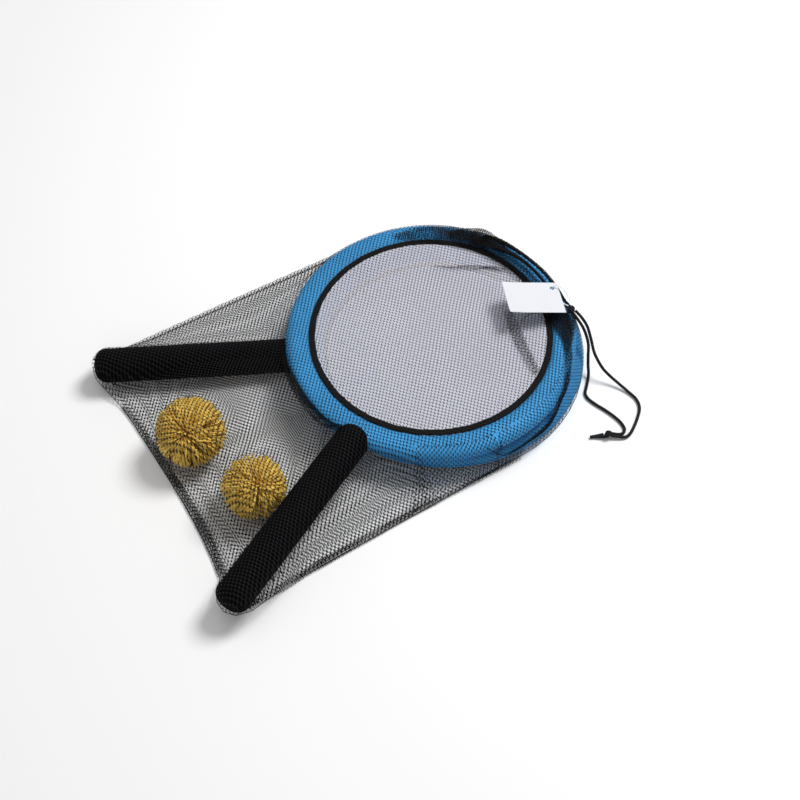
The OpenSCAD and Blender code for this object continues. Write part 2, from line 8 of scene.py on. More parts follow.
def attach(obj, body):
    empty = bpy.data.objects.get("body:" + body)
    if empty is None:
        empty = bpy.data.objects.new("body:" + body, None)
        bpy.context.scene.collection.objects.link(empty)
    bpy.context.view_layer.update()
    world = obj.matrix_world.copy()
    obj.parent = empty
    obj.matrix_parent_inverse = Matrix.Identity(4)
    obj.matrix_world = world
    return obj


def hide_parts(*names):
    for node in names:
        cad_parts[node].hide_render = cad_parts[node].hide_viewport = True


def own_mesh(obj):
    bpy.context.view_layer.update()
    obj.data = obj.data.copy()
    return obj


# A net-racket catch set in a mesh bag. Shapes are worked out in millimetres in the part's frame, X towards the
# bag's mouth, Z up, the lower hoop's middle over the origin. mesh_object turns them to metres.

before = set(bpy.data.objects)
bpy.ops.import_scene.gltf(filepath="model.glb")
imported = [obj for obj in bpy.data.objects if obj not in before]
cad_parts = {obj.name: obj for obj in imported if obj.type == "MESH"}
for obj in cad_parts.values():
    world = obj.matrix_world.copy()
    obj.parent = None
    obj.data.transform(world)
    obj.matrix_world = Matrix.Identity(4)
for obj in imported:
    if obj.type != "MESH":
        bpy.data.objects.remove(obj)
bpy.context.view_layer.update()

MM = 0.001


# ---------------------------------------------------------------- camera

# As fitted to the photograph: the picture's axes, the camera's place in metres, its roll in degrees and its lens.
CAMERA_RIGHT, CAMERA_UP = (0.85561, -0.51762, 0), (0.41967, 0.69369, 0.58539)
CAMERA_FORWARD = (0.30301, 0.50086, -0.81075)
CAMERA_AT, CAMERA_ROLL, LENS, SENSOR = (-0.49676, -0.73769, 1.14973), -0.207, 61.41, 36


def set_camera():
    data = bpy.data.cameras.new("camera")
    data.sensor_width, data.lens = SENSOR, LENS
    data.clip_start, data.clip_end = 0.05, 50
    cam = bpy.data.objects.new("camera", data)
    axes = Matrix((CAMERA_RIGHT, CAMERA_UP, [-k for k in CAMERA_FORWARD])).transposed()
    turn = axes @ Matrix.Rotation(math.radians(CAMERA_ROLL), 3, "Z")
    cam.matrix_world = Matrix.Translation(CAMERA_AT) @ turn.to_4x4()
    bpy.context.scene.collection.objects.link(cam)
    bpy.context.scene.camera = cam


set_camera()


# ---------------------------------------------------------------- meshes


def mesh_object(name, verts, faces):
    me = bpy.data.meshes.new(name)
    faces = faces.tolist() if isinstance(faces, np.ndarray) else faces
    me.from_pydata(np.asarray(verts, float) * MM, [], faces)
    me.validate()
    me.shade_smooth()
    obj = bpy.data.objects.new(name, me)
    bpy.context.scene.collection.objects.link(obj)
    return obj


def dress(obj, body, look, slot, *replaced):
    obj.data.materials.append(look)
    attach(obj, body)
    if replaced:
        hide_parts(*replaced)


def flatten(obj):
    """Gives a piece of the bag, or of what hangs on it, its own copy of its mesh."""
    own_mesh(obj)


def piece(name, shape, body, look, slot, *replaced):
    """A dressed piece; shape is its verts and faces."""
    obj = mesh_object(name, *shape)
    dress(obj, body, look, slot, *replaced)
    return obj


def bag_piece(name, shape, look, slot, *replaced):
    obj = piece(name, shape, "bag", look, slot, *replaced)
    flatten(obj)
    return obj


def norm(rows):
    return np.linalg.norm(rows, axis=1)


def unit(rows):
    return rows / norm(rows)[:, None]


def polar(r, angle, z):
    return np.stack([r * np.cos(angle), r * np.sin(angle), z], axis=-1)


def lengths(line):
    """How far along a line each of its points is."""
    return np.concatenate([[0], np.cumsum(norm(np.diff(line, axis=0)))])


def at_lengths(x, s, rows):
    """Rows that are known at lengths s, worked out at lengths x."""
    return np.stack([np.interp(x, s, column) for column in rows.T], axis=-1)


def circle(steps):
    return np.linspace(0, 2 * math.pi, steps + 1)[:-1]


def smooth_line(points, steps):
    """A smooth curve through points, with that many steps from each to the next."""
    p = [np.array(q, float) for q in points]
    out = []
    for i in range(len(p) - 1):
        a, b, c, d = p[max(i - 1, 0)], p[i], p[i + 1], p[min(i + 2, len(p) - 1)]
        for s in range(steps):
            t = s / steps
            out.append(0.5 * (2 * b + (c - a) * t + (2 * a - 5 * b + 4 * c - d) * t * t
                              + (3 * b - 3 * c + d - a) * t ** 3))
    return np.array(out + [p[-1]])


def resample(line, step):
    s = lengths(line)
    n = max(2, int(round(s[-1] / step)) + 1)
    return at_lengths(np.linspace(0, s[-1], n), s, line)


def frames_along(line):
    """Two directions across a line at each of its points, which turn no more than the line does."""
    t = unit(np.gradient(line, axis=0))
    ups, last = [], np.array([0, 0, 1.0])
    for d in t:
        last = last - last.dot(d) * d
        last = last / max(np.linalg.norm(last), 1e-9)
        ups.append(last)
    ups = np.array(ups)
    return ups, np.cross(t, ups)


def ring_quads(rings, sides, closed):
    """Quads between rings of that many points, and from the last ring to the first if they are closed."""
    i, j = np.meshgrid(np.arange(rings if closed else rings - 1), np.arange(sides), indexing="ij")
    here, there, beside = i * sides, (i + 1) % rings * sides, (j + 1) % sides
    return np.stack([here + j, here + beside, there + beside, there + j], axis=-1).reshape(-1, 4)


def tube(line, radius, sides=12, lay=None, closed=False):
    """Verts and faces of a tube; radius is a number or one for each ring, and lay(s, angle) adds to it."""
    u, v = frames_along(line)
    n = len(line)
    ang = np.arange(sides) * 2 * math.pi / sides
    r = np.broadcast_to(np.asarray(radius, float).reshape(-1, 1), (n, 1)) * np.ones((1, sides))
    if lay is not None:
        r = r + lay(lengths(line)[:, None], ang[None, :])
    ring = np.cos(ang)[None, :, None] * u[:, None, :] + np.sin(ang)[None, :, None] * v[:, None, :]
    verts = (line[:, None, :] + r[:, :, None] * ring).reshape(-1, 3)
    faces = ring_quads(n, sides, closed).tolist()
    if not closed:
        faces.append(list(range(sides))[::-1])
        faces.append([(n - 1) * sides + k for k in range(sides)])
    return verts, faces


def joined(parts):
    """Several shapes of verts and faces as one."""
    verts, faces, base = [], [], 0
    for v, f in parts:
        verts.append(v)
        faces += [[base + k for k in q] for q in f]
        base += len(v)
    return np.concatenate(verts), faces


# ---------------------------------------------------------------- materials

# How strongly specks and roughness follow the fine noise, and the depth in metres of a grain and a weave.
SPECK, ROUGH_SPREAD = 0.35, 0.08
GRAIN_DEPTH, WEAVE_DEPTH = 0.0004, 0.0003


def linear(c):
    return tuple(x / 12.92 if x <= 0.04045 else ((x + 0.055) / 1.055) ** 2.4 for x in (k / 255 for k in c))


def add_node(nt, kind, **values):
    """A new node. Each value sets or feeds the input of its name, or sets the node's own property."""
    node = nt.nodes.new(kind)
    for name, value in values.items():
        socket = name.replace("_", " ")
        if socket not in node.inputs:
            setattr(node, name, value)
        elif isinstance(value, bpy.types.NodeSocket):
            nt.links.new(value, node.inputs[socket])
        else:
            node.inputs[socket].default_value = value
    return node


def math_node(nt, operation, *inputs):
    node = nt.nodes.new("ShaderNodeMath")
    node.operation = operation
    for k, value in enumerate(inputs):
        if isinstance(value, (int, float)):
            node.inputs[k].default_value = value
        else:
            nt.links.new(value, node.inputs[k])
    return node.outputs[0]


def blank_material(name):
    """A material without nodes, and what adds one to it."""
    m = bpy.data.materials.new(name)
    m.use_nodes = True
    m.node_tree.nodes.clear()
    return m, lambda kind, **values: add_node(m.node_tree, kind, **values)


def material(name, rgb, vary=0.12, vary_scale=60, rough=0.6, bump=0.2, bump_scale=900, weave=None, weave_bump=0.3,
             metallic=0.0, sheen=0.0, specular=0.5, stretch=(1, 1, 1), coat=0.0, tint=None, strands=None):
    """A colour that varies slowly and finely, up to the tint if there is one, with a grain. weave gives a cloth's
    threads a metre, two to each wave, and strands how dark the darkest loose piece is."""
    m, node = blank_material(name)

    def mixed(blend, amount, a, b):
        return node("ShaderNodeMix", data_type="RGBA", blend_type=blend, Factor=amount, A=a, B=b).outputs["Result"]
    local = node("ShaderNodeTexCoord").outputs["Object"]
    place = node("ShaderNodeMapping", Scale=stretch, Vector=local).outputs[0]
    slow = node("ShaderNodeTexNoise", Scale=vary_scale, Detail=4.0, Roughness=0.6, Vector=place).outputs["Fac"]
    fine = node("ShaderNodeTexNoise", Scale=bump_scale, Detail=3.0, Roughness=0.65, Vector=place).outputs["Fac"]
    base = np.array(linear(rgb))
    ramp = node("ShaderNodeValToRGB", Fac=slow)
    low, high = ramp.color_ramp.elements
    low.position, high.position = 0.3, 0.7
    low.color = (*(base * (1 - vary)), 1)
    high.color = (*(np.minimum(base * (1 + vary), 1) if tint is None else linear(tint)), 1)
    plain = ramp.outputs["Color"]
    colour = mixed("MIX", SPECK, plain, mixed("MULTIPLY", min(1.0, vary * 2.5), plain, fine))
    if strands is not None:
        shade = node("ShaderNodeMapRange", To_Min=strands,
                     Value=node("ShaderNodeNewGeometry").outputs["Random Per Island"]).outputs["Result"]
        colour = mixed("MULTIPLY", 1.0, colour, shade)
    roughness = node("ShaderNodeMapRange", To_Min=max(0.0, rough - ROUGH_SPREAD),
                     To_Max=min(1.0, rough + ROUGH_SPREAD), Value=fine).outputs["Result"]
    normal = node("ShaderNodeBump", Strength=bump, Distance=GRAIN_DEPTH, Height=fine).outputs["Normal"]
    if weave:
        waves = [node("ShaderNodeTexWave", wave_type="BANDS", bands_direction=axis, Scale=weave / 20 * math.pi,
                      Distortion=0.6, Detail=1.0, Vector=place).outputs["Fac"] for axis in "XY"]
        normal = node("ShaderNodeBump", Strength=weave_bump, Distance=WEAVE_DEPTH, Normal=normal,
                      Height=math_node(m.node_tree, "MULTIPLY", *waves)).outputs["Normal"]
    bsdf = node("ShaderNodeBsdfPrincipled", Metallic=metallic, Specular_IOR_Level=specular, Sheen_Weight=sheen,
                Coat_Weight=coat, Base_Color=colour, Roughness=roughness, Normal=normal)
    node("ShaderNodeOutputMaterial", Surface=bsdf.outputs[0])
    return m


STEEL = material("rod_steel", (168, 170, 174), vary=0.08, rough=0.32, metallic=1.0, bump=0.05, stretch=(1, 1, 6))
PLASTIC = material("moulded_black", (46, 46, 48), vary=0.1, rough=0.5, bump=0.08)
COVER = material("blue_cover", (62, 158, 222), vary=0.08, vary_scale=35, weave=1500, weave_bump=0.22,
                 bump=0.12, bump_scale=1400, sheen=0.03, specular=0.22)
TAPE = material("black_tape", (13, 12, 12), vary=0.2, rough=0.8, weave=1200, weave_bump=0.5, specular=0.12)
FACE = material("face_yarn", (243, 243, 255), vary=0.02, bump=0.12, sheen=0.05, specular=0.3)
FOAM = material("black_foam", (6, 6, 8), vary=0.25, vary_scale=90, rough=0.9, bump=0.5, bump_scale=1300,
                specular=0.04)
STRING = material("golden_string", (255, 200, 66), vary=0.09, vary_scale=160, rough=0.65, bump_scale=1600,
                  tint=(255, 226, 124), specular=0.3, strands=0.82)
BAND = material("ball_band", (120, 84, 22), vary=0.15)
NET = material("bag_yarn", (9, 9, 11), vary=0.25, vary_scale=200, bump=0.3, bump_scale=2500, specular=0.15)
SEAM = material("seam_yarn", (9, 9, 10), vary=0.2, rough=0.75, bump=0.4, bump_scale=1800, specular=0.12)
CORD = material("drawcord", (10, 10, 11), vary=0.2, rough=0.7, bump=0.5, bump_scale=2400, specular=0.2)
CARD = material("tag_card", (215, 217, 222), vary=0.02, rough=0.45, bump=0.05, bump_scale=500, coat=0.05,
                specular=0.3)
LOOP = material("tag_plastic", (232, 240, 250), vary=0.03, rough=0.2, bump=0.02)


# ---------------------------------------------------------------- sizes, in millimetres

HOOP_R, PAD_W, PAD_H, FACE_R, TAPE_W, TAPE_T, NET_RISE = 150.0, 27.0, 18.5, 119.6, 6.2, 2.0, 8.0
REACH, GRIP_D, GRIP_ROUND, GRIP_START = 360.0, 35.6, 12.0, 137.0
BAG_T, REST_GAP = 0.8, 0.3
PAD_R = PAD_H / 2
CREST_R = HOOP_R - PAD_R
FLAT_W = PAD_W - PAD_H
LOWER_YAW, UPPER_YAW = 153.9, 206.7
STACK_XY = np.array([-12.8, 0.2])
STACK_TILT, STACK_ROLL = 1.3, -0.8


def heading(a):
    return np.array([math.cos(math.radians(a)), math.sin(math.radians(a))])


LOWER_TILT = math.degrees(math.atan((GRIP_D - PAD_H) / 2 / (GRIP_START + GRIP_ROUND + CREST_R)))
LOWER_Z = BAG_T + REST_GAP + PAD_R + CREST_R * math.sin(math.radians(LOWER_TILT))
LOWER_SLOPE = math.tan(math.radians(LOWER_TILT)) * heading(LOWER_YAW)
UPPER_SLOPE = (-math.tan(math.radians(STACK_TILT)) * heading(UPPER_YAW)
               + math.tan(math.radians(STACK_ROLL)) * heading(UPPER_YAW + 90))
UPPER_Z = (LOWER_Z + PAD_H + REST_GAP + UPPER_SLOPE @ STACK_XY
           + np.linalg.norm(UPPER_SLOPE - LOWER_SLOPE) * HOOP_R)


def rotation(x, y, z):
    x, y, z = (math.radians(k) for k in (x, y, z))
    return np.array(Matrix.Rotation(z, 3, "Z") @ Matrix.Rotation(y, 3, "Y") @ Matrix.Rotation(x, 3, "X"))


PLACES = {
    "lower": (rotation(180, -LOWER_TILT, LOWER_YAW), np.array([0, 0, LOWER_Z])),
    "upper": (rotation(STACK_ROLL, STACK_TILT, UPPER_YAW), np.array([*STACK_XY, UPPER_Z])),
}


def placed(side, points):
    """Points of a racket, given from its hoop's middle with its handle along X, where that racket lies."""
    turn, at = PLACES[side]
    return np.asarray(points) @ turn.T + at


BALL_1, BALL_1_R = np.array([-277.5, 25, 36.1]), 35.5
BALL_2, BALL_2_R = np.array([-253, -62.5, 33.1]), 32.5
HUB_1, HUB_2 = (-0.35, -0.51, 0.79), (-0.03, -0.54, 0.84)
FAR_Y, NEAR_Y, WRAP_R = 178.0, 154.0, 150.7
WRAP = [list(WRAP_R * heading(a)) for a in np.arange(-90, 60.1, 7.5)]

# The bag's outline where its top and base meet, with the height there, and the base's own outline on the floor,
# with as many points. The corners are those of the points that lie round the two grips' ends.
EDGE = np.array(
    [[-338.5, -164, 26], [-331, -173, 26], [-316, -176, 25], [-296, -169, 17], [-272, -160, 8],
     [-245, -NEAR_Y - 2, 0], [-140, -NEAR_Y, 0]] + [[*p, 0] for p in WRAP]
    + [[-20, FAR_Y, 0], [-150, FAR_Y + 1, 0], [-250, FAR_Y + 1, 0], [-282, FAR_Y + 1, 6], [-301, FAR_Y - 0.5, 14],
       [-313, 175.5, 17], [-321, 169, 17], [-326.5, 160, 16], [-328, 150, 14], [-324, 135, 8], [-319, 118, 2],
       [-316, 85, 0], [-315, 30, 0], [-314, -20, 0], [-316, -75, 0], [-322, -118, 2], [-332, -134, 14],
       [-339, -150, 23]], float)
FOOT = np.array(
    [[-318, -156], [-316, -160], [-308, -161], [-292, -160], [-268, -158], [-245, -NEAR_Y - 2], [-140, -NEAR_Y]]
    + WRAP + [[-20, FAR_Y], [-150, FAR_Y + 1], [-250, FAR_Y + 1], [-282, FAR_Y + 1], [-300, FAR_Y],
             [-306, 172], [-310, 166], [-313, 158], [-315, 148], [-316, 135], [-317, 118],
             [-316, 85], [-315, 30], [-314, -20], [-316, -75], [-321, -118], [-319, -134], [-318, -147]], float)
NEAR_CORNER, FAR_CORNER = np.arange(-3, 6), np.arange(31, 40)


def nearest_on(poly, pts):
    """Distance from each point to a closed outline, and the nearest point on it with its height."""
    best = np.full(len(pts), 1e9)
    where = np.zeros((len(pts), poly.shape[1]))
    for a, b in zip(poly, np.roll(poly, -1, axis=0)):
        d = (b - a)[:2]
        t = np.clip((pts - a[:2]) @ d / (d @ d), 0, 1)
        q = a + t[:, None] * (b - a)
        gap = norm(pts - q[:, :2])
        closer = gap < best
        best[closer] = gap[closer]
        where[closer] = q[closer]
    return best, where


def inside(poly, pts):
    """Which points lie in a closed outline."""
    hit = np.zeros(len(pts), bool)
    for a, b in zip(poly, np.roll(poly, -1, axis=0)):
        crosses = (a[1] > pts[:, 1]) != (b[1] > pts[:, 1])
        if abs(b[1] - a[1]) > 1e-9:
            x = a[0] + (pts[:, 1] - a[1]) * (b[0] - a[0]) / (b[1] - a[1])
            hit ^= crosses & (pts[:, 0] < x)
    return hit


# How far the net stays off the rackets and balls, how slack it falls from them (1 is straight), how steeply it may
# come off the hoops, and where its round end over a grip starts before the grip's own.
DRAPE_GAP, BALL_GAP = 0.7, -0.5
HOOP_FALL, GRIP_FALL, BALL_FALL, HOOP_STEEPEST = 1.8, 1.3, 1.0, 1.7
DRAPE_ROUND = 15


def over(mid, r, gap, b, low, fall, steepest=1e6):
    """Height of net over a round thing: on it, off it in a straight line, in a slack curve to the bag's edge."""
    off, drop = r * steepest / math.hypot(1, steepest), r / math.hypot(1, steepest)
    arch = mid + np.where(gap < off, np.sqrt(np.maximum(r * r - gap * gap, 0)), drop - steepest * (gap - off))
    return np.maximum(arch, low + (mid + r - low) * (b / np.maximum(b + gap, 0.01)) ** fall)


def drape(pts):
    """How high the net's underside lies over the rackets and balls, and how far off the bag's edge is."""
    b, q = nearest_on(EDGE, pts)
    low = BAG_T + q[:, 2]
    tops = [low]
    for centre, yaw, mid, slope in ((np.zeros(2), LOWER_YAW, LOWER_Z, LOWER_SLOPE),
                                    (STACK_XY, UPPER_YAW, UPPER_Z, UPPER_SLOPE)):
        at, along = pts - centre, heading(yaw)
        gap = np.maximum(0, norm(at) - CREST_R)
        tops.append(over(mid + at @ slope, PAD_R + DRAPE_GAP, gap, b, low, HOOP_FALL, HOOP_STEEPEST))
        s = np.clip(at @ along, HOOP_R, REACH - DRAPE_ROUND)
        gap = norm(at - s[:, None] * along)
        tops.append(over(mid + s * (slope @ along), GRIP_D / 2 + DRAPE_GAP, gap, b, low, GRIP_FALL))
    for at, r in ((BALL_1, BALL_1_R), (BALL_2, BALL_2_R)):
        tops.append(over(at[2], r + BALL_GAP, norm(pts - at[:2]), b, low, BALL_FALL))
    return np.max(tops, axis=0), b


def ripple(pts, scale, seed):
    """A slow, smooth up and down from -1 to 1."""
    r = np.random.default_rng(seed)
    z = np.zeros(len(pts))
    for _ in range(7):
        k = r.normal(size=2) / scale
        z += np.sin(pts @ k + r.uniform(0, 6.3))
    return np.clip(z / 3.2, -1, 1)


def top_height(pts):
    """Height of the bag's top net: draped, with small waves where it hangs free, weaker ones over the hoops."""
    z, b = drape(pts)
    free = np.clip((z - BAG_T) / 12, 0, 1) * np.clip(b / 15, 0, 1)
    held = (norm(pts - STACK_XY) < HOOP_R).astype(float)
    return z + free * (1 - 0.75 * held) * (0.7 + 0.7 * ripple(pts, 22, 3)) + 0.25 * ripple(pts, 6, 5) * free


# ---------------------------------------------------------------- netting

# The bag's mesh: width of a cell, distance of the rows, width of the yarn's upright and slanted parts, how far the
# yarn's middle stands out, how many places in a millimetre tell corners apart, and how much a net is stretched.
PITCH, ROW, THICK, THIN, RIDGE = 4.5, 2.65, 1.05, 0.33, 0.18
CORNER_PLACES, STRETCH = 50, 1.3
# The limits of the rectangle that declared works out: the share of it that yarn fills, and its width in metres.
FILL_LEAST, FILL_MOST, FLAT_LEAST = 0.32, 0.98, 0.0102
# Where the top and base nets are each parted in two, where the wall beside the first ball stands, and the skirt's
# directions in degrees.
MID_X = -100
WALL_X, WALL_OUT, WALL_FROM, WALL_TO = -309.0, 8, -6, 57
SKIRT_FROM, SKIRT_TO, SKIRT_STEPS = -128, 78, 60
STITCH, STITCH_GAP, SEAM_Z = 1.9, 1.1, 1.9


def hexnet(keep, box, pitch=PITCH, row=ROW, thick=THICK, thin=THIN):
    """A flat net of six-sided cells with thick upright sides and thin slanted ones, where keep(centres) holds:
    plan points, quads, the flat area of its yarn, and how many of the points lie along the middle of the yarn."""
    squeeze = np.array([1, row / (pitch * math.sqrt(0.75))])
    i, j = np.meshgrid(np.arange(int(box[0] / pitch) - 2, int(box[2] / pitch) + 3),
                       np.arange(int(box[1] / row) - 2, int(box[3] / row) + 3))
    c = np.stack([(i + 0.5 * (j % 2)) * pitch, j * row], axis=-1).reshape(-1, 2)
    c = c[keep(c)]
    ang = np.radians(30 + 60 * np.arange(6))
    outer = c[:, None] + pitch / math.sqrt(3) * np.stack([np.cos(ang), np.sin(ang)], axis=-1) * squeeze
    across, top = (pitch - thick) / 2, (pitch - thin) / math.sqrt(3)
    side = top - across / math.sqrt(3)
    inner = c[:, None] + squeeze * np.array([[across, side], [0, top], [-across, side],
                                            [-across, -side], [0, -top], [across, -side]])
    outer = outer.reshape(-1, 2)
    keys = np.round(outer * CORNER_PLACES).astype(np.int64)
    _, first, index = np.unique(keys, axis=0, return_index=True, return_inverse=True)
    shared = outer[first]
    o = index.reshape(-1, 6)
    n = len(shared) + np.arange(len(c) * 6).reshape(-1, 6)
    quads = np.stack([o, np.roll(o, -1, 1), np.roll(n, -1, 1), n], axis=-1).reshape(-1, 4)
    area = len(c) * (pitch * row - 2 * across * (top + side) * squeeze[1])
    return np.concatenate([shared, inner.reshape(-1, 2)]), quads, area, len(shared)


def declared(obj, area_mm2):
    """Works out a rectangle of the net's own proportions for the flat area of its yarn, but does nothing with it.
    """
    co = np.array([v.co for v in obj.data.vertices])
    w, l = sorted(co.max(0) - co.min(0))[1:]
    area = float(area_mm2 * 1e-6)
    fill = area / (w * l)
    scale = math.sqrt(fill / min(max(fill, FILL_LEAST), FILL_MOST))
    w = max(w * scale, FLAT_LEAST)
    l = min(l * scale, area / (FILL_LEAST * w))


def netting(name, verts, quads, area, held, rests_on, *replaced):
    obj = piece(name, (verts, quads), "bag", NET, "bag_net", *replaced)
    declared(obj, area)
    flatten(obj)


def warp(p, size=1.3):
    """Places in a net moved a little, so that its rows aren't straight."""
    return p + size * np.stack([ripple(p, 30, 11), ripple(p, 30, 12)], axis=-1)


def pulled_in(poly, p):
    """Places in plan, with those outside an outline moved onto it."""
    out = ~inside(poly, p)
    if out.any():
        p = p.copy()
        p[out] = nearest_on(poly, p[out])[1][:, :2]
    return p


def surface(verts, quads):
    """The area of quads in space."""
    a, b, c, d = (verts[quads[:, k]] for k in range(4))
    return 0.5 * norm(np.cross(c - a, d - b)).sum()


def net_piece(name, keep, box, height, poly, held, rests_on, *replaced):
    """Netting at the height that height(plan) gives, in an outline and where keep(centres) holds."""
    plan, quads, area, middle = hexnet(keep, box)
    plan = pulled_in(poly, warp(plan))
    z = height(plan)
    z[:middle] += RIDGE
    verts = np.column_stack([plan, z])
    netting(name, verts, quads, max(area, surface(verts, quads) / STRETCH), held, rests_on, *replaced)


def skirt_line(phi):
    """The net drawn tight from the upper hoop's crest over both hoops' edges down to the floor, in one direction:
    radius and height at evenly spread places on that line, and its length."""
    e = heading(phi)
    rim = 0
    for a, b in zip(EDGE, np.roll(EDGE, -1, axis=0)):
        m = np.array([[e[0], (a - b)[0]], [e[1], (a - b)[1]]])
        if abs(np.linalg.det(m)) > 1e-9:
            r, t = np.linalg.solve(m, a[:2] - STACK_XY)
            if r > 0 and 0 <= t <= 1:
                rim = max(rim, r)
    back = -(STACK_XY @ e)
    lower_crest = back + math.sqrt(CREST_R ** 2 - (STACK_XY @ STACK_XY - back ** 2))
    upper_mid = UPPER_Z + CREST_R * (UPPER_SLOPE @ e)
    lower_mid = LOWER_Z + (STACK_XY + lower_crest * e) @ LOWER_SLOPE
    rr = PAD_R + DRAPE_GAP
    points = [(CREST_R - 1.5, upper_mid + rr), (rim, BAG_T)]
    a = np.radians(np.arange(90, -40, -6))
    for r, mid in ((CREST_R, upper_mid), (lower_crest, lower_mid)):
        points += list(zip(r + rr * np.cos(a), mid + rr * np.sin(a)))
    hull = []
    for q in sorted(points):
        while len(hull) > 1 and ((hull[-1][0] - hull[-2][0]) * (q[1] - hull[-2][1])
                                 >= (hull[-1][1] - hull[-2][1]) * (q[0] - hull[-2][0])):
            hull.pop()
        hull.append(q)
    s = lengths(hull)
    return at_lengths(np.linspace(0, s[-1], SKIRT_STEPS + 1), s, np.array(hull)), s[-1]


SKIRT_PHI = np.arange(SKIRT_FROM, SKIRT_TO + 1)
SKIRT_LINES, SKIRT_LONG = (np.array(k) for k in zip(*(skirt_line(phi) for phi in SKIRT_PHI)))


def on_skirt(phi, v, out=0.0):
    """Places on the skirt from their angle, distance down from its top edge and distance off it, and which way is
    out there."""
    phi = np.clip(phi, SKIRT_FROM, SKIRT_TO - 0.001)
    i = (phi - SKIRT_FROM).astype(int)
    w = (phi - SKIRT_FROM - i)[:, None]
    t = np.clip(v / np.interp(phi, SKIRT_PHI, SKIRT_LONG), 0, 1) * (SKIRT_STEPS - 0.001)
    k = t.astype(int)
    low, high = (SKIRT_LINES[i, q] * (1 - w) + SKIRT_LINES[i + 1, q] * w for q in (k, k + 1))
    a, d = np.radians(phi), unit(high - low)
    rz = low + (t - k)[:, None] * (high - low) + np.reshape(out, (-1, 1)) * np.stack([-d[:, 1], d[:, 0]], axis=-1)
    return polar(rz[:, 0], a, rz[:, 1]) + [*STACK_XY, 0], polar(-d[:, 1], a, d[:, 0])


def in_skirt(c):
    """Which places in plan the skirt covers."""
    d = c - STACK_XY
    phi = np.degrees(np.arctan2(d[:, 1], d[:, 0]))
    return (phi > SKIRT_FROM) & (phi < SKIRT_TO) & (norm(d) > CREST_R)


def beside_ball(c):
    """Where the net drops so steeply from the first ball to the closed end that it is a wall of its own."""
    return (c[:, 0] < WALL_X) & (c[:, 1] > WALL_FROM) & (c[:, 1] < WALL_TO)


def build_bag_sheets():
    outline, box = EDGE[:, :2], (-345, -180, 160, 186)
    net_piece("top_net_handles", lambda c: inside(outline, c) & (c[:, 0] <= MID_X) & ~beside_ball(c), box,
              top_height, outline, "stretched", ["upper_cover", "upper_grip", "lower_grip"])
    y = np.arange(WALL_FROM, WALL_TO + 1, 3.0)
    top = np.column_stack([np.full(len(y), WALL_X), y])
    _, foot_line = nearest_on(EDGE, top - [WALL_OUT, 0])
    strip_net("net_beside_ball", np.column_stack([top, top_height(top)[:, None]]), foot_line + [0, 0, BAG_T],
              ["ball_1_pompom"])
    net_piece("top_net_hoops", lambda c: inside(outline, c) & (c[:, 0] > MID_X) & ~in_skirt(c), box, top_height,
              outline, "stretched", ["upper_cover", "upper_grip"], "bag_top_net")
    build_skirt()
    for name, pick, replaced in (("base_net_handles", lambda c: c[:, 0] <= MID_X, ()),
                                 ("base_net_hoops", lambda c: c[:, 0] > MID_X, ("bag_base_net",))):
        net_piece(name, lambda c: inside(FOOT, c) & pick(c), box,
                  lambda p: 0.35 + 0.25 * (1 + ripple(p, 14, 21)), FOOT, "laid", ["floor"], *replaced)


def build_skirt():
    """The net down the hoops' sides, cut flat as angle times a middle radius by the distance down, and laid on."""
    scale = math.radians(CREST_R + 8)
    plan, quads, area, middle = hexnet(
        lambda c: (c[:, 0] > SKIRT_FROM * scale) & (c[:, 0] < SKIRT_TO * scale) & (c[:, 1] > 0)
        & (c[:, 1] < np.interp(c[:, 0] / scale, SKIRT_PHI, SKIRT_LONG)),
        (SKIRT_FROM * scale, 0, SKIRT_TO * scale, SKIRT_LONG.max()))
    plan = warp(plan, 0.8)
    phi, down = plan[:, 0] / scale, plan[:, 1]
    free = np.clip(down / 12, 0, 1) * np.clip((np.interp(phi, SKIRT_PHI, SKIRT_LONG) - down) / 6, 0, 1)
    out = free * (0.35 + 0.35 * ripple(plan, 12, 31))
    out[:middle] += RIDGE
    netting("top_net_skirt", on_skirt(phi, down, out)[0], quads, area, "stretched", ["upper_cover", "lower_cover"])


def strip_net(name, left, right, rests_on):
    """Netting between two lines of the same number of points."""
    s = lengths((left + right) / 2)
    wide = norm(left - right)
    plan, quads, area, _ = hexnet(
        lambda c: (c[:, 0] >= 0) & (c[:, 0] <= s[-1]) & (c[:, 1] >= 0) & (c[:, 1] <= np.interp(c[:, 0], s, wide)),
        (0, 0, s[-1], float(wide.max())))
    x = np.clip(plan[:, 0], 0, s[-1])
    t = np.clip(plan[:, 1] / np.maximum(np.interp(x, s, wide), 0.1), 0, 1)
    a, b = at_lengths(x, s, left), at_lengths(x, s, right)
    netting(name, a + t[:, None] * (b - a), quads, area, "stretched", rests_on)


def build_bag_ends():
    """The net that hangs from the raised edge at the two grips' ends down to the floor."""
    high, low = EDGE + [0, 0, BAG_T], np.column_stack([FOOT, np.full(len(FOOT), BAG_T)])
    for name, corner, grip in (("net_under_upper_grip", NEAR_CORNER, "upper_grip"),
                               ("net_under_lower_grip", FAR_CORNER, "lower_grip")):
        strip_net(name, high[corner], low[corner], [grip])


def stitches(line, size):
    """Short raised stitches along a line."""
    line = resample(line, 0.5)
    s = lengths(line)
    parts = []
    for k in range(int(s[-1] / (STITCH + STITCH_GAP))):
        p = at_lengths(k * (STITCH + STITCH_GAP) + np.linspace(0, STITCH, 6), s, line)
        p[:, 2] += 0.5 * np.sin(np.linspace(0, math.pi, 6))
        parts.append(tube(p, size * np.array([0.5, 0.9, 1, 1, 0.9, 0.5]), sides=6))
    return joined(parts)


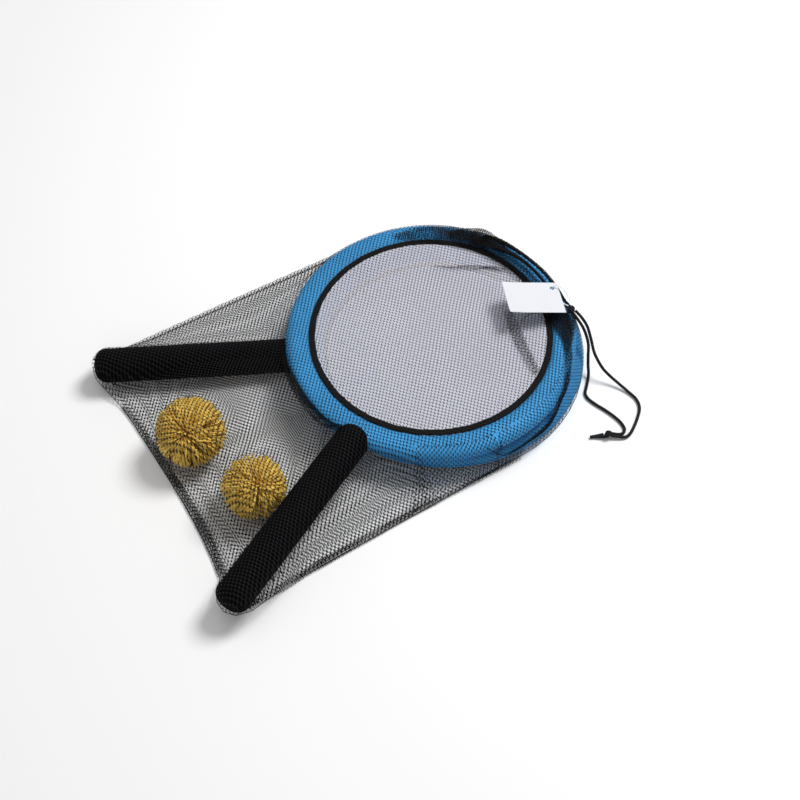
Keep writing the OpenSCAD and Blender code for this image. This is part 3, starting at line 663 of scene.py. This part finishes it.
def build_flange(points, wide):
    """The seam's allowance, which stands out beyond the bag: a strip of net folded along its middle."""
    line = resample(np.array([[x, y, 1.0] for x, y in points]), 3)
    s = lengths(line)
    box = (0, 0, s[-1], 2 * wide)
    plan, quads, area, _ = hexnet(lambda c: ((c > box[:2]) & (c < box[2:])).all(axis=1), box)
    x, y = np.clip(plan[:, 0], 0, s[-1]), np.clip(plan[:, 1], 0, 2 * wide)
    out = np.minimum(y, 2 * wide - y)
    verts = at_lengths(x, s, line)
    verts[:, 1] += out
    verts[:, 2] += np.where(y > wide, 0.6, 0) + out / wide * 0.4 * (1 + np.sin(x * 0.35))
    netting("far_seam_flange", verts, quads, area, "folded", ["floor"])


def build_seams():
    far = [[-280, FAR_Y + 1], [-150, FAR_Y + 1], [-22, FAR_Y]]
    near = [[-245, -NEAR_Y - 2.5], [-140, -NEAR_Y - 0.5], [0, -WRAP_R - 0.5]]
    end = [[-317.5, 112], [-316.5, 85], [-315.5, 30], [-314.5, -20], [-316.5, -75], [-321, -112]]
    build_flange(far, 5.5)
    for name, points, size in (("far_seam", far, 0.5), ("near_seam", near, 0.5), ("end_seam", end, 0.6)):
        line = np.array([[x, y, SEAM_Z] for x, y in points])
        bag_piece(f"{name}_stitches", stitches(line, size), SEAM, "bag_seam", f"bag_{name}")
    rim = EDGE + [0, 0, BAG_T + 0.2]
    bag_piece("net_edge", tube(resample(np.concatenate([rim, rim[:1]]), 3), 0.3, 8), SEAM, "bag_seam")


# ---------------------------------------------------------------- rackets

# How far a face's net reaches in under its tape, how far pressed foam stays off the hoop, and the face's mesh.
FACE_TUCK, PRESS_GAP = 2.5, 0.35
FACE_MESH = {"pitch": 1.7, "row": 1.47, "thick": 0.84, "thin": 0.8}


def revolved(profile, around, side, wobble):
    """A closed section of (r, z) points turned about a hoop's axis; wobble(angle, r, z) is added to r and z."""
    profile = np.asarray(profile, float)
    a = (np.arange(around) * 2 * math.pi / around)[:, None]
    r, z = (np.repeat(profile[None, :, k], around, 0) for k in (0, 1))
    dr, dz = wobble(a, r, z)
    return placed(side, polar(r + dr, a, z + dz).reshape(-1, 3)), ring_quads(around, len(profile), True)


def corner(x, y, r, start, turn, steps):
    """Points of a section round a corner's middle, from an angle on through a turn, both in radians."""
    angles = (start + turn * k / steps for k in range(steps + 1))
    return [(x + r * math.cos(a), y + r * math.sin(a)) for a in angles]


def pad_profile():
    """The padding's section: two half rounds and a flat between them, a little domed on top."""
    inner = CREST_R - FLAT_W
    return (corner(CREST_R, 0, PAD_R, -math.pi / 2, math.pi, 14)
            + [(CREST_R - FLAT_W * k / 4, PAD_R + 0.15 * math.sin(math.pi * k / 4)) for k in (1, 2, 3)]
            + corner(inner, 0, PAD_R, math.pi / 2, math.pi, 14)
            + [(inner + FLAT_W * k / 4, -PAD_R) for k in (1, 2, 3)])


def build_cover(side):
    phase = 0 if side == "upper" else 2.1

    def creases(a, r, z):
        inner = np.clip((133 - r) / 10, 0, 1)
        pull = 0.22 * inner * np.sin(97 * a + 1.5 * np.sin(5 * a + phase))
        slow = 0.16 * np.sin(7 * a + phase) + 0.1 * np.sin(19 * a + 2 * phase)
        seam = -0.5 * np.exp(-(z / 0.6) ** 2) * (r > CREST_R)
        return pull * 0.6 + seam, pull + slow * (np.abs(z) > 3)
    obj = piece(f"{side}_cover", revolved(pad_profile(), 540, side, creases), f"{side}_racket", COVER,
                "blue_cover", f"{side}_hoop_cover", f"{side}_hoop_foam")
    a = circle(360)
    ring = placed(side, polar(HOOP_R - 0.1, a, 0.4 + 0 * a))
    piece(f"{side}_cover_seam", tube(ring, 0.55, 8, closed=True), f"{side}_racket", COVER, "blue_cover")


def build_tape(side):
    half, end = TAPE_T / 2, FACE_R + TAPE_W
    flat = [FACE_R + half + (TAPE_W - half) * k / 6 for k in range(1, 6)]
    profile = (corner(FACE_R + half, NET_RISE, half, math.pi / 2, math.pi, 8)
               + [(r, NET_RISE - half) for r in flat]
               + [(end, NET_RISE - half + 0.2), (end, NET_RISE + half - 0.2)]
               + [(r, NET_RISE + half) for r in flat[::-1]])

    def ruck(a, r, z):
        top = (r > FACE_R + 1.2) & (r < end - 0.3) & (z > NET_RISE)
        rib = 0.10 * np.sin(260 * a) * top
        stitch = -0.22 * top * np.exp(-((r - end + 1.6) / 0.5) ** 2) * (0.6 + 0.4 * np.sin(300 * a))
        return 0.12 * np.sin(31 * a) + 0.08 * np.sin(73 * a), rib + stitch
    piece(f"{side}_tape", revolved(profile, 720, side, ruck), f"{side}_racket", TAPE, "black_tape",
          f"{side}_edge_tape")


def build_face(side):
    reach = FACE_R + FACE_TUCK
    plan, quads, area, middle = hexnet(lambda c: norm(c) < reach, (-reach, -reach, reach, reach), **FACE_MESH)
    r = norm(plan)
    sag = 0.7 * np.clip(1 - (r / FACE_R) ** 2, 0, 1) + 0.15 * ripple(plan, 25, 9) * (r < FACE_R - 4)
    z = NET_RISE - sag * (1 if side == "upper" else -1)
    z[:middle] += 0.2
    shape = placed(side, np.column_stack([plan, z])), quads
    obj = piece(f"{side}_face", shape, f"{side}_racket", FACE, "face_net", f"{side}_face_net")
    declared(obj, area)


def build_grip(side):
    start, end, mid = GRIP_START + GRIP_ROUND, REACH - GRIP_ROUND, GRIP_D / 2 - GRIP_ROUND
    profile = np.array(corner(start, mid, GRIP_ROUND, math.pi, -math.pi / 2, 12)
                       + [(x, GRIP_D / 2) for x in np.linspace(start, end, 90)[1:-1]]
                       + corner(end, mid, GRIP_ROUND, math.pi / 2, -math.pi / 2, 12))
    n, around = len(profile), 72
    a = np.arange(around) * 2 * math.pi / around
    x = np.repeat(profile[:, :1], around, 1)
    r = profile[:, 1:] + 0.12 * np.sin(x / 9 + 3 * a) * np.sin(2 * a + x / 31)
    pts = np.stack([x, r * np.cos(a), r * np.sin(a)], axis=-1).reshape(-1, 3)
    pts = np.concatenate([pts, [[profile[0, 0], 0, 0], [profile[-1, 0] + 0.3, 0, 0]]])
    last = len(pts) - 1
    faces = ring_quads(n, around, False).tolist()
    faces += [[last - 1, (k + 1) % around, k] for k in range(around)]
    faces += [[last, (n - 1) * around + k, (n - 1) * around + (k + 1) % around] for k in range(around)]
    pts = placed(side, pts)
    if side == "lower":
        pts = pressed_by_upper_hoop(pts)
    obj = piece(f"{side}_grip", (pts, faces), f"{side}_racket", FOAM, "black_foam", f"{side}_foam_grip")


def pressed_by_upper_hoop(pts):
    """Moves foam that would lie in the upper hoop's padding down to just under it."""
    turn, at = PLACES["upper"]
    local = (pts - at) @ turn
    r = norm(local[:, :2])
    beside = r - np.clip(r, CREST_R - FLAT_W, CREST_R)
    into = np.hypot(beside, local[:, 2]) < PAD_R + PRESS_GAP
    depth = np.sqrt(np.maximum((PAD_R + PRESS_GAP) ** 2 - beside ** 2, 0))
    local[into, 2] = np.minimum(local[into, 2], -depth[into])
    return local @ turn.T + at


# ---------------------------------------------------------------- string balls

# How many tufts half of the strings lie in, and a string's radius, segments, turns and least height off the floor.
TUFTS, STRING_R, STRING_STEPS, STRING_TWISTS, STRING_LOWEST = 44, 0.84, 16, 7, 1.2


def build_ball(name, at, size, hub, count, bare, seed):
    """Strings tied in the middle that spread from a hub over the ball like petals. bare lists directions round the
    hub, in degrees, where few strings lie, each with how wide that gap is and how much of the strings it lacks."""
    r = np.random.default_rng(seed)
    hub = np.array(hub, float) / np.linalg.norm(hub)
    one = np.cross(CAMERA_UP, hub)
    one /= np.linalg.norm(one)
    two = np.cross(hub, one)
    tufts = r.uniform(0, 360, TUFTS)
    parts = []
    s = np.linspace(0, 1, STRING_STEPS + 1)
    thick = np.interp(s, [0, 0.15, 0.85, 1], [0.7, 1, 1, 0.62])
    while len(parts) < count:
        psi = r.choice(tufts) + r.normal() * 2.6 if r.random() < 0.5 else r.uniform(0, 360)
        lack = sum(share * math.exp(-(((psi - middle + 180) % 360 - 180) / wide) ** 2)
                   for middle, wide, share in bare)
        if r.random() < lack:
            continue
        tip = math.acos(1 - 1.98 * r.random())
        root = max(0.0, tip - r.uniform(0.5, 0.95))
        lean = root + (tip - root) * s ** 0.8
        around = math.radians(psi) + r.normal() * 0.05 * s
        length = size * (0.9 + 0.1 * r.random()) * (0.45 + 0.55 * np.sin(s * math.pi / 2))
        p = length[:, None] * (np.cos(lean)[:, None] * hub + (np.sin(lean) * np.cos(around))[:, None] * one
                               + (np.sin(lean) * np.sin(around))[:, None] * two)
        p[:, 2] = np.maximum(p[:, 2], STRING_LOWEST - at[2])
        twist = 1 + 0.16 * np.sin(s * 2 * math.pi * STRING_TWISTS + r.uniform(0, 6.3))
        parts.append(tube(p + at, STRING_R * thick * twist, sides=5))
    piece(f"{name}_pompom", joined(parts), name, STRING, "ball_string", f"{name}_strings")
    a = circle(48)[:, None]
    ring = at + 3.8 * (np.cos(a) * one + np.sin(a) * two)
    piece(f"{name}_band", tube(ring, 1.7, 8, closed=True), name, BAND, "ball_band", f"{name}_tie")


# ---------------------------------------------------------------- drawcord, hem and gathers

# The cord's thickness, the length of its tails beyond the end knot, and how high over the hoop on_net's 0 lies.
CORD_D, TAIL, NET_OVER_CREST = 3.2, 14, 3.2


def on_net(place):
    """A place on the net over the upper hoop: angle, distance out from the hoop's crest, height above the net."""
    phi, out, lift = place
    xy = STACK_XY + (CREST_R + out) * heading(phi)
    return np.array([*xy, UPPER_Z + (xy - STACK_XY) @ UPPER_SLOPE + PAD_R + NET_OVER_CREST + lift])


MOUTH_KNOT, END_KNOT = on_net((-23.1, 6.3, 6.3)), np.array([89, -177.5, 5.6])
RIGHT = ([list(MOUTH_KNOT + p) for p in ((2.5, -3.5, 0.3), (5.3, -10.9, -4.2), (8.1, -19.2, -12.7))]
         + [[129, -87.5, 36.5], [126.5, -98.5, 27.5], [127.5, -111.5, 18], [131.5, -120.5, 11], [136, -130.5, 6],
            [140, -142.5, 2.6], [142, -155, 1.8], [138.5, -165.5, 1.8], [130, -174, 1.8], [119, -182, 1.8],
            [110, -187, 1.8], [102, -187.5, 2.6], [91, -180, 4.6]])
LEFT = ([list(MOUTH_KNOT + p) for p in ((-1, -3.5, -0.2), (1, -10.9, -5.2), (4.2, -19.3, -15.2))]
        + [[125.5, -87.5, 33.5], [121, -95.5, 24], [119, -100, 14], [117.5, -104.2, 6], [113.8, -109, 2.2],
           [107.2, -115.6, 1.8], [101, -122, 1.8], [99.8, -129.5, 1.8], [102.5, -140, 1.8], [106, -149.5, 1.8],
           [109.2, -161, 1.8], [110.5, -171.5, 1.8], [108.3, -180.3, 1.8], [101, -182.7, 2.6], [91, -176.5, 4.6]])
HEM = [on_net(h) for h in (
    (-22.1, 6, 6), (-19, 4.4, 4.2), (-15.6, 2.6, 3.2), (-9.4, 1.5, 3), (-3, 0.6, 3), (3, 0, 3), (10, -0.8, 3),
    (17.5, -1, 3), (25, -0.8, 3), (30.5, -2, 3), (33, -5.5, 3), (32, -9.5, 3), (28, -11.5, 3), (22, -10, 3),
    (15.5, -7.6, 3), (9.5, -6.8, 3), (3, -6.5, 3), (-5, -6.2, 3), (-13, -5.2, 3), (-18, -1.5, 3.8),
    (-21.4, 3, 5.8))]
HEM_RADIUS = [0, 0.05, 0.3, 0.45, 0.6, 0.75, 1], [1.5, 1.4, 1.6, 2.5, 2.5, 1.5, 1.2]


def braid(s, a):
    """Ridges of a round braid: two sets of strands that cross."""
    return 0.09 * np.sin(5 * a + s * 2.2) + 0.09 * np.sin(5 * a - s * 2.2)


def build_cords():
    knots = {}
    for name, at, turn, nodes in (("mouth_knot", MOUTH_KNOT, 20, ["mouth_knot"]),
                                  ("end_knot", END_KNOT, 70, ["end_knot", "cord_tails"])):
        parts = [knot_turn(at, turn, k) for k in range(3)]
        if name == "end_knot":
            parts += [cord_tail(side) for side in (-1, 1)]
        knots[name] = bag_piece(f"{name}_turns", joined(parts), CORD, "drawcord", *nodes)
    for side, route, carried in (("right", RIGHT, [knots["end_knot"]]), ("left", LEFT, [])):
        line = resample(smooth_line(route, 8), 0.55)
        shape = tube(line, CORD_D / 2 - 0.05, 16, lay=braid)
        obj = piece(f"drawcord_{side}", shape, "bag", CORD, "drawcord", f"cord_{side}")
        float(lengths(line)[-1]) * MM
        flatten(obj)


def knot_turn(at, turn, k):
    """One of a knot's three turns of cord, a wavy ring that stands 60 degrees round from the one before."""
    q = circle(60)
    wave = CORD_D * 0.80 + 0.25 * np.sin(3 * q + k)
    ring = polar(wave, q, 0.5 * np.sin(2 * q + k))
    return tube(ring @ rotation(turn + 60 * k, 35, 60 * k).T + at, CORD_D / 2, 12, lay=braid, closed=True)


def cord_tail(side):
    """One of the two short ends that stick out of the end knot, thicker at its cut end."""
    t = np.linspace(0, 1, 26)
    p = END_KNOT + [-3, 1.5 + 1.9 * side, -2.4] + TAIL * t[:, None] * rotation(0, 95, 152 + 8 * side)[:, 2]
    p[:, 2] = np.maximum(p[:, 2], CORD_D / 2)
    return tube(p, np.where(t > 0.9, 1.65, 1.5), 12, lay=braid)


def ruffle(s, a):
    """Folds of the netting that is bunched round the hem."""
    return 0.42 * np.sin(s * 2.1 + 0.8 * np.sin(s * 0.31)) + 0.25 * np.sin(3 * a + s * 0.9)


def build_hem():
    line = resample(smooth_line(HEM, 8), 0.7)
    radius = np.interp(np.linspace(0, 1, len(line)), *HEM_RADIUS)
    bag_piece("hem_ruffle", tube(line, radius, 14, lay=ruffle), SEAM, "bag_seam", "bag_hem", "hem_cord")


def gathered(name, points, widths, fullness, high, pleat, rests_on, *replaced, ups=((0, 0, 1), (0, 0, 1))):
    """Netting bunched along a line into that many times its width, in pleats that run along the line."""
    line = resample(smooth_line(points, 8), 1.5)
    s = lengths(line)
    w = np.interp(s / s[-1], np.linspace(0, 1, len(widths)), widths)
    cloth = float(w.max() * fullness)
    plan, quads, area, _ = hexnet(
        lambda c: (c[:, 0] > 0) & (c[:, 0] < s[-1]) & (np.abs(c[:, 1]) < np.interp(c[:, 0], s, w) * fullness / 2),
        (0, -cloth / 2, s[-1], cloth / 2))
    x, y = np.clip(plan[:, 0], 0, s[-1]), plan[:, 1]
    up = unit(at_lengths(x / s[-1], np.linspace(0, 1, len(ups)), np.array(ups, float)))
    across = unit(np.cross(up, at_lengths(x, s, np.gradient(line, axis=0))))
    width = np.interp(x, s, w)
    u = y / (width * fullness)
    wander = ripple(np.stack([x, 40 * u], -1), 9, len(name))
    fold = np.sin(2 * math.pi * (y / pleat + 0.35 * wander))
    offset = u * width + 0.06 * width * np.cos(2 * math.pi * y / pleat)
    z = high * (0.5 + 0.5 * fold) * np.sqrt(np.clip(1 - (2 * u) ** 2, 0.08, 1))
    base = at_lengths(x, s, line) + offset[:, None] * across
    while surface(base + z[:, None] * up, quads) < 0.8 * area:
        z *= 1.15
    netting(name, base + z[:, None] * up, quads, area, "gathered", rests_on, *replaced)


def build_gathers():
    cover = ["upper_cover"]

    def on_hoop(*places):
        return [on_net((phi, out, lift - 1.8)) for phi, out, lift in places]
    gathered("gather_mouth_top", on_hoop(
        (41, -4, 0), (34, -4, 0.4), (27, -5, 0.6), (20, -4.5, 0.5), (12, -3.5, 0.4)),
        [5, 12, 13, 9, 3], 5.0, 1.6, 3.2, cover, "bag_gather")
    gathered("gather_over_tape", on_hoop(
        (37, -17, 0), (31, -19, 0.3), (24, -20.5, 0.5), (17, -20.5, 0.5), (9, -20.5, 0.5), (1, -20.5, 0.4),
        (-6, -21, 0.2)),
        [3, 8, 10, 10, 9.5, 9, 7], 5.0, 1.8, 3.4, cover)
    gathered("gather_between", on_hoop(
        (34, -11, -0.3), (24, -12.5, -0.3), (14, -12.5, -0.3), (4, -12.5, -0.3), (-6, -12, -0.3), (-16, -9, -0.3)),
        [8, 12, 12, 12, 12, 14], 2.2, 1.7, 4.4, cover)
    gathered("gather_ring_top", on_hoop(
        (76, -8, 0), (66, -8.5, 0.2), (56, -9, 0.3), (46, -9, 0.3), (38, -8.5, 0.3), (30, -8, 0.3)),
        [8, 17, 22, 25, 26, 25], 2.6, 1.8, 4.4, cover)
    gathered("gather_over_hem", on_hoop(
        (50, -8, 0.5), (44, -8, 2.5), (38, -8, 5.5), (33, -8, 7.2), (28, -8, 7.2), (24, -7, 7), (20, -6, 7)),
        [8, 16, 22, 24, 20, 12, 6], 5.0, 1.8, 3.8, cover)
    gathered("gather_below_knot", on_hoop(
        (-19.5, -5, 0.3), (-22, -5, 0.5), (-25, -4, 0.5), (-28, -3, 0.4), (-32, -1.5, 0.3), (-37, -0.5, 0.2),
        (-42, 0, 0)),
        [26, 28, 26, 20, 14, 9, 6], 7.0, 1.6, 4.4, cover)

    def on_top(*places):
        return np.column_stack([places, top_height(np.array(places, float)) + 0.3])
    gathered("fold_on_face", on_top((69, -18), (62, -44), (57, -64), (53, -86), (50.6, -103)), [10, 12, 12, 10, 8],
             3.2, 1.4, 4.4, ["upper_face"])
    gathered("wrinkle_on_face", on_top((73, -41), (80, -36), (88, -35.5), (96, -38)), [2, 3, 3, 2], 3.4, 1.2, 3.4,
             ["upper_face"])
    gathered("wrinkle_by_tape", on_top((37, 71), (50, 61), (68.6, 50.5), (86, 38), (98, 28)), [1.8, 3, 5, 6, 5],
             4.5, 1.2, 3.4, ["upper_face"])
    # Painted shade: a band of netting bunched nine times over, as dark as the bag's yarn, laid just outside the
    # upper hoop's left edge to stand in for the shade along the hoop's outer side there.
    around = STACK_XY + 153 * np.array([heading(a) for a in range(158, 208, 5)])
    gathered("gather_beside_hoop", on_top(*around) + [0, 0, 1.6], [3, 7, 9, 10, 10, 9, 7], 9.0, 2.4, 3.0, cover)

    def on_base(x, y):
        return [x, y, BAG_T + 0.6]
    gathered("gather_end_edge", [on_base(x + 3.2, y) for x, y in (
        (-322, -118), (-316, -75), (-314, -20), (-315, 30), (-316, 85), (-319, 116))],
        [8.5, 10, 9, 8, 7, 5], 5.0, 1.3, 3.6, ["base_net_handles"])
    gathered("gather_near_edge", [on_base(x, y) for x, y in (
        (-322, -157), (-300, -158.5), (-268, -156), (-245, -154), (-190, -152.5), (-140, -151.5), (-60, -152.5),
        (0, -152.5))],
        [5, 8, 9, 8, 7.5, 6.5, 5.5, 4], 4.8, 1.3, 3.6, ["base_net_handles", "base_net_hoops"])
    # Netting bunched in the groove between the two hoops, from the knot down the near side: partly real folds of
    # the bag, partly painted shade, made dark and wide to stand in for the shade in that groove as well.
    phi = np.array([-26, -33, -43, -50, -58, -63, -68, -73, -82, -93, -101], float)
    line, ups = on_skirt(phi, np.array([0.5, 1, 3.5, 7, 13, 16, 25.5, 30.5, 31.5, 32, 32.5]), 0.5)
    gathered("gather_groove", line, [9, 9, 8.5, 8, 8.5, 9, 8.5, 7, 5, 3, 2], 6.0, 1.3, 3.4,
             ["upper_cover", "lower_cover"], ups=ups)


# ---------------------------------------------------------------- tag

TAG_AT, TAG_YAW, TAG_TILT, TAG_L, TAG_W, TAG_T = MOUTH_KNOT + (-29.5, 27.5, 8.9), -21, 13, 62.0, 41.0, 0.5
HOLE_R, HOLE_REACH = 2.2, 3.6  # the card's grid is pushed out of the hole as far as HOLE_REACH
TAG_LOOP = ((1.5, 4, 2.3), (4.5, 10.5, 3.8), (6, 19.5, 5.3), (4, 28, 6.8), (0.3, 31.3, 6.7), (-2.7, 31.8, 3.4),
            (-4.4, 29, 1.3), (-4.8, 21, 1.1), (-3.2, 11.5, 1.1), (-1.5, 4, 2.8))


def build_tag():
    """A bare card, curled a little, with a hole near one corner for its plastic loop."""
    nx, ny = round(TAG_L), round(TAG_W)
    x, y = np.linspace(-TAG_L / 2, TAG_L / 2, nx + 1), np.linspace(-TAG_W / 2, TAG_W / 2, ny + 1)
    grid = np.stack(np.meshgrid(x, y, indexing="ij"), -1).reshape(-1, 2)
    hole = np.array([TAG_L / 2 - 7, TAG_W / 2 - 7.5])
    p, d = grid.copy(), grid - hole
    r = norm(d)
    push = (r < HOLE_REACH) & (r > 0.05)
    p[push] = hole + d[push] / r[push, None] * (HOLE_R + r[push] / HOLE_REACH * (HOLE_REACH - HOLE_R))[:, None]
    z = 1.3 * (p[:, 0] / (TAG_L / 2)) ** 2 * (p[:, 0] < 0) + 0.5 * (p[:, 1] / (TAG_W / 2)) ** 2
    z += 0.5 * np.sin(p[:, 0] / 17) * np.cos(p[:, 1] / 23)
    i, j = np.meshgrid(np.arange(nx), np.arange(ny), indexing="ij")
    a = i * (ny + 1) + j
    quads = np.stack([a, a + ny + 1, a + ny + 2, a + 1], axis=-1).reshape(-1, 4)
    quads = quads[~(np.abs(grid[quads].mean(1) - hole) < 0.9).all(axis=1)]
    turn = rotation(0, 0, TAG_YAW) @ rotation(0, TAG_TILT, 0)
    obj = mesh_object("tag_curled_card", np.column_stack([p, z]) @ turn.T + TAG_AT, quads)
    thick = obj.modifiers.new("thickness", "SOLIDIFY")
    thick.thickness, thick.offset = TAG_T * MM, 1
    dress(obj, "tag", CARD, "tag_card", "hang_tag")
    flatten(obj)
    loop = resample(smooth_line([MOUTH_KNOT + p for p in TAG_LOOP], 6), 1)
    bag_piece("tag_loop_strand", tube(loop, 0.6, 10), LOOP, "tag_loop", "tag_loop")


# ---------------------------------------------------------------- CAD nodes that show as they are

def dress_cad():
    """Gives each CAD node the look of the first ending here that its name has."""
    looks = {"hoop_rod": STEEL, "rod_sleeve": PLASTIC, "handle_tube": STEEL, "tube_plug": PLASTIC,
             "hoop_foam": FOAM, "hoop_cover": COVER, "edge_tape": TAPE, "face_net": FACE, "foam_grip": FOAM,
             "strings": STRING, "tie": BAND, "net": NET, "seam": SEAM, "gather": NET, "hem": SEAM, "cord": CORD,
             "knot": CORD, "right": CORD, "left": CORD, "tails": CORD, "tag": CARD, "loop": LOOP}
    for name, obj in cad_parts.items():
        obj.data.materials.clear()
        obj.data.materials.append(next(look for ending, look in looks.items() if name.endswith(ending)))


# ---------------------------------------------------------------- floor and light

# Metres. The floor is FLOOR_COLOUR where it only throws light on things and FLOOR_SEEN where it is looked at, and
# fades to white between the two distances of FLOOR_FADE. A lamp is a name, a place, a width and its watts.
FLOOR_HALF, FLOOR_DROP, FLOOR_COLOUR, FLOOR_SEEN, FLOOR_FADE = 6, 0.0002, 0.85, 0.96, (0.6, 1.6)
WORLD = 0.32
LAMPS = (("key", (1.14, -0.05, 2.0), 0.9, 42), ("top", (-0.3, 0.3, 2.2), 1.8, 6),
         ("front", (-1.2, -1.6, 1.5), 1.4, 4))
LAMPS_AIM = (-0.09, 0, 0)


def seen_directly(nt):
    """1 for what the camera sees, also in a mirror or through glass, and 0 for light that falls on things."""
    path = nt.nodes.new("ShaderNodeLightPath").outputs
    return math_node(nt, "MAXIMUM", path["Is Camera Ray"],
                     math_node(nt, "MAXIMUM", path["Is Glossy Ray"], path["Is Transmission Ray"]))


def build_floor():
    """A pale floor that turns to plain white far from the object."""
    me = bpy.data.meshes.new("floor")
    corners = ((-1, -1), (1, -1), (1, 1), (-1, 1))
    me.from_pydata([(x * FLOOR_HALF, y * FLOOR_HALF, 0) for x, y in corners], [], [(0, 1, 2, 3)])
    floor = bpy.data.objects.new("floor", me)
    bpy.context.scene.collection.objects.link(floor)
    floor.location.z = -FLOOR_DROP
    m, node = blank_material("floor")
    nt = m.node_tree
    seen = seen_directly(nt)
    diffuse = node("ShaderNodeBsdfDiffuse",
                   Color=math_node(nt, "MULTIPLY_ADD", seen, FLOOR_SEEN - FLOOR_COLOUR, FLOOR_COLOUR))
    place = node("ShaderNodeNewGeometry").outputs["Position"]
    far = node("ShaderNodeMapRange", interpolation_type="SMOOTHSTEP", From_Min=FLOOR_FADE[0],
               From_Max=FLOOR_FADE[1],
               Value=node("ShaderNodeVectorMath", operation="LENGTH", Vector=place).outputs["Value"])
    mix = node("ShaderNodeMixShader", Fac=math_node(nt, "MULTIPLY", seen, far.outputs["Result"]))
    nt.links.new(diffuse.outputs[0], mix.inputs[1])
    nt.links.new(node("ShaderNodeEmission").outputs[0], mix.inputs[2])
    node("ShaderNodeOutputMaterial", Surface=mix.outputs[0])
    me.materials.append(m)


def build_sky():
    """A white sky that gives little light."""
    world = bpy.data.worlds.new("studio")
    bpy.context.scene.world = world
    world.use_nodes = True
    nt = world.node_tree
    back = nt.nodes["Background"]
    back.inputs["Color"].default_value = (1, 1, 1, 1)
    nt.links.new(math_node(nt, "MULTIPLY_ADD", seen_directly(nt), 1 - WORLD, WORLD), back.inputs["Strength"])


def build_lamps():
    for name, at, size, watts in LAMPS:
        data = bpy.data.lights.new(name, "AREA")
        data.shape = "DISK"
        data.size, data.energy = size, watts
        obj = bpy.data.objects.new(name, data)
        obj.location = at
        obj.rotation_mode = "QUATERNION"
        obj.rotation_quaternion = (Vector(LAMPS_AIM) - Vector(at)).to_track_quat("-Z", "Y")
        bpy.context.scene.collection.objects.link(obj)


build_cords()
build_hem()
build_gathers()
build_bag_sheets()
build_bag_ends()
build_seams()
for side in ("upper", "lower"):
    build_cover(side)
    build_tape(side)
    build_face(side)
    build_grip(side)
build_ball("ball_1", BALL_1, BALL_1_R, HUB_1, 1500,
           ((262, 5, 0.8), (285, 5, 0.8), (236, 5, 0.8), (310, 5, 0.7)), 3)
build_ball("ball_2", BALL_2, BALL_2_R, HUB_2, 1050, ((90, 30, 0.8), (262, 6, 0.85), (280, 6, 0.85)), 4)
build_tag()
dress_cad()
build_floor()
build_sky()
build_lamps()
bpy.context.scene.view_settings.view_transform = "Standard"
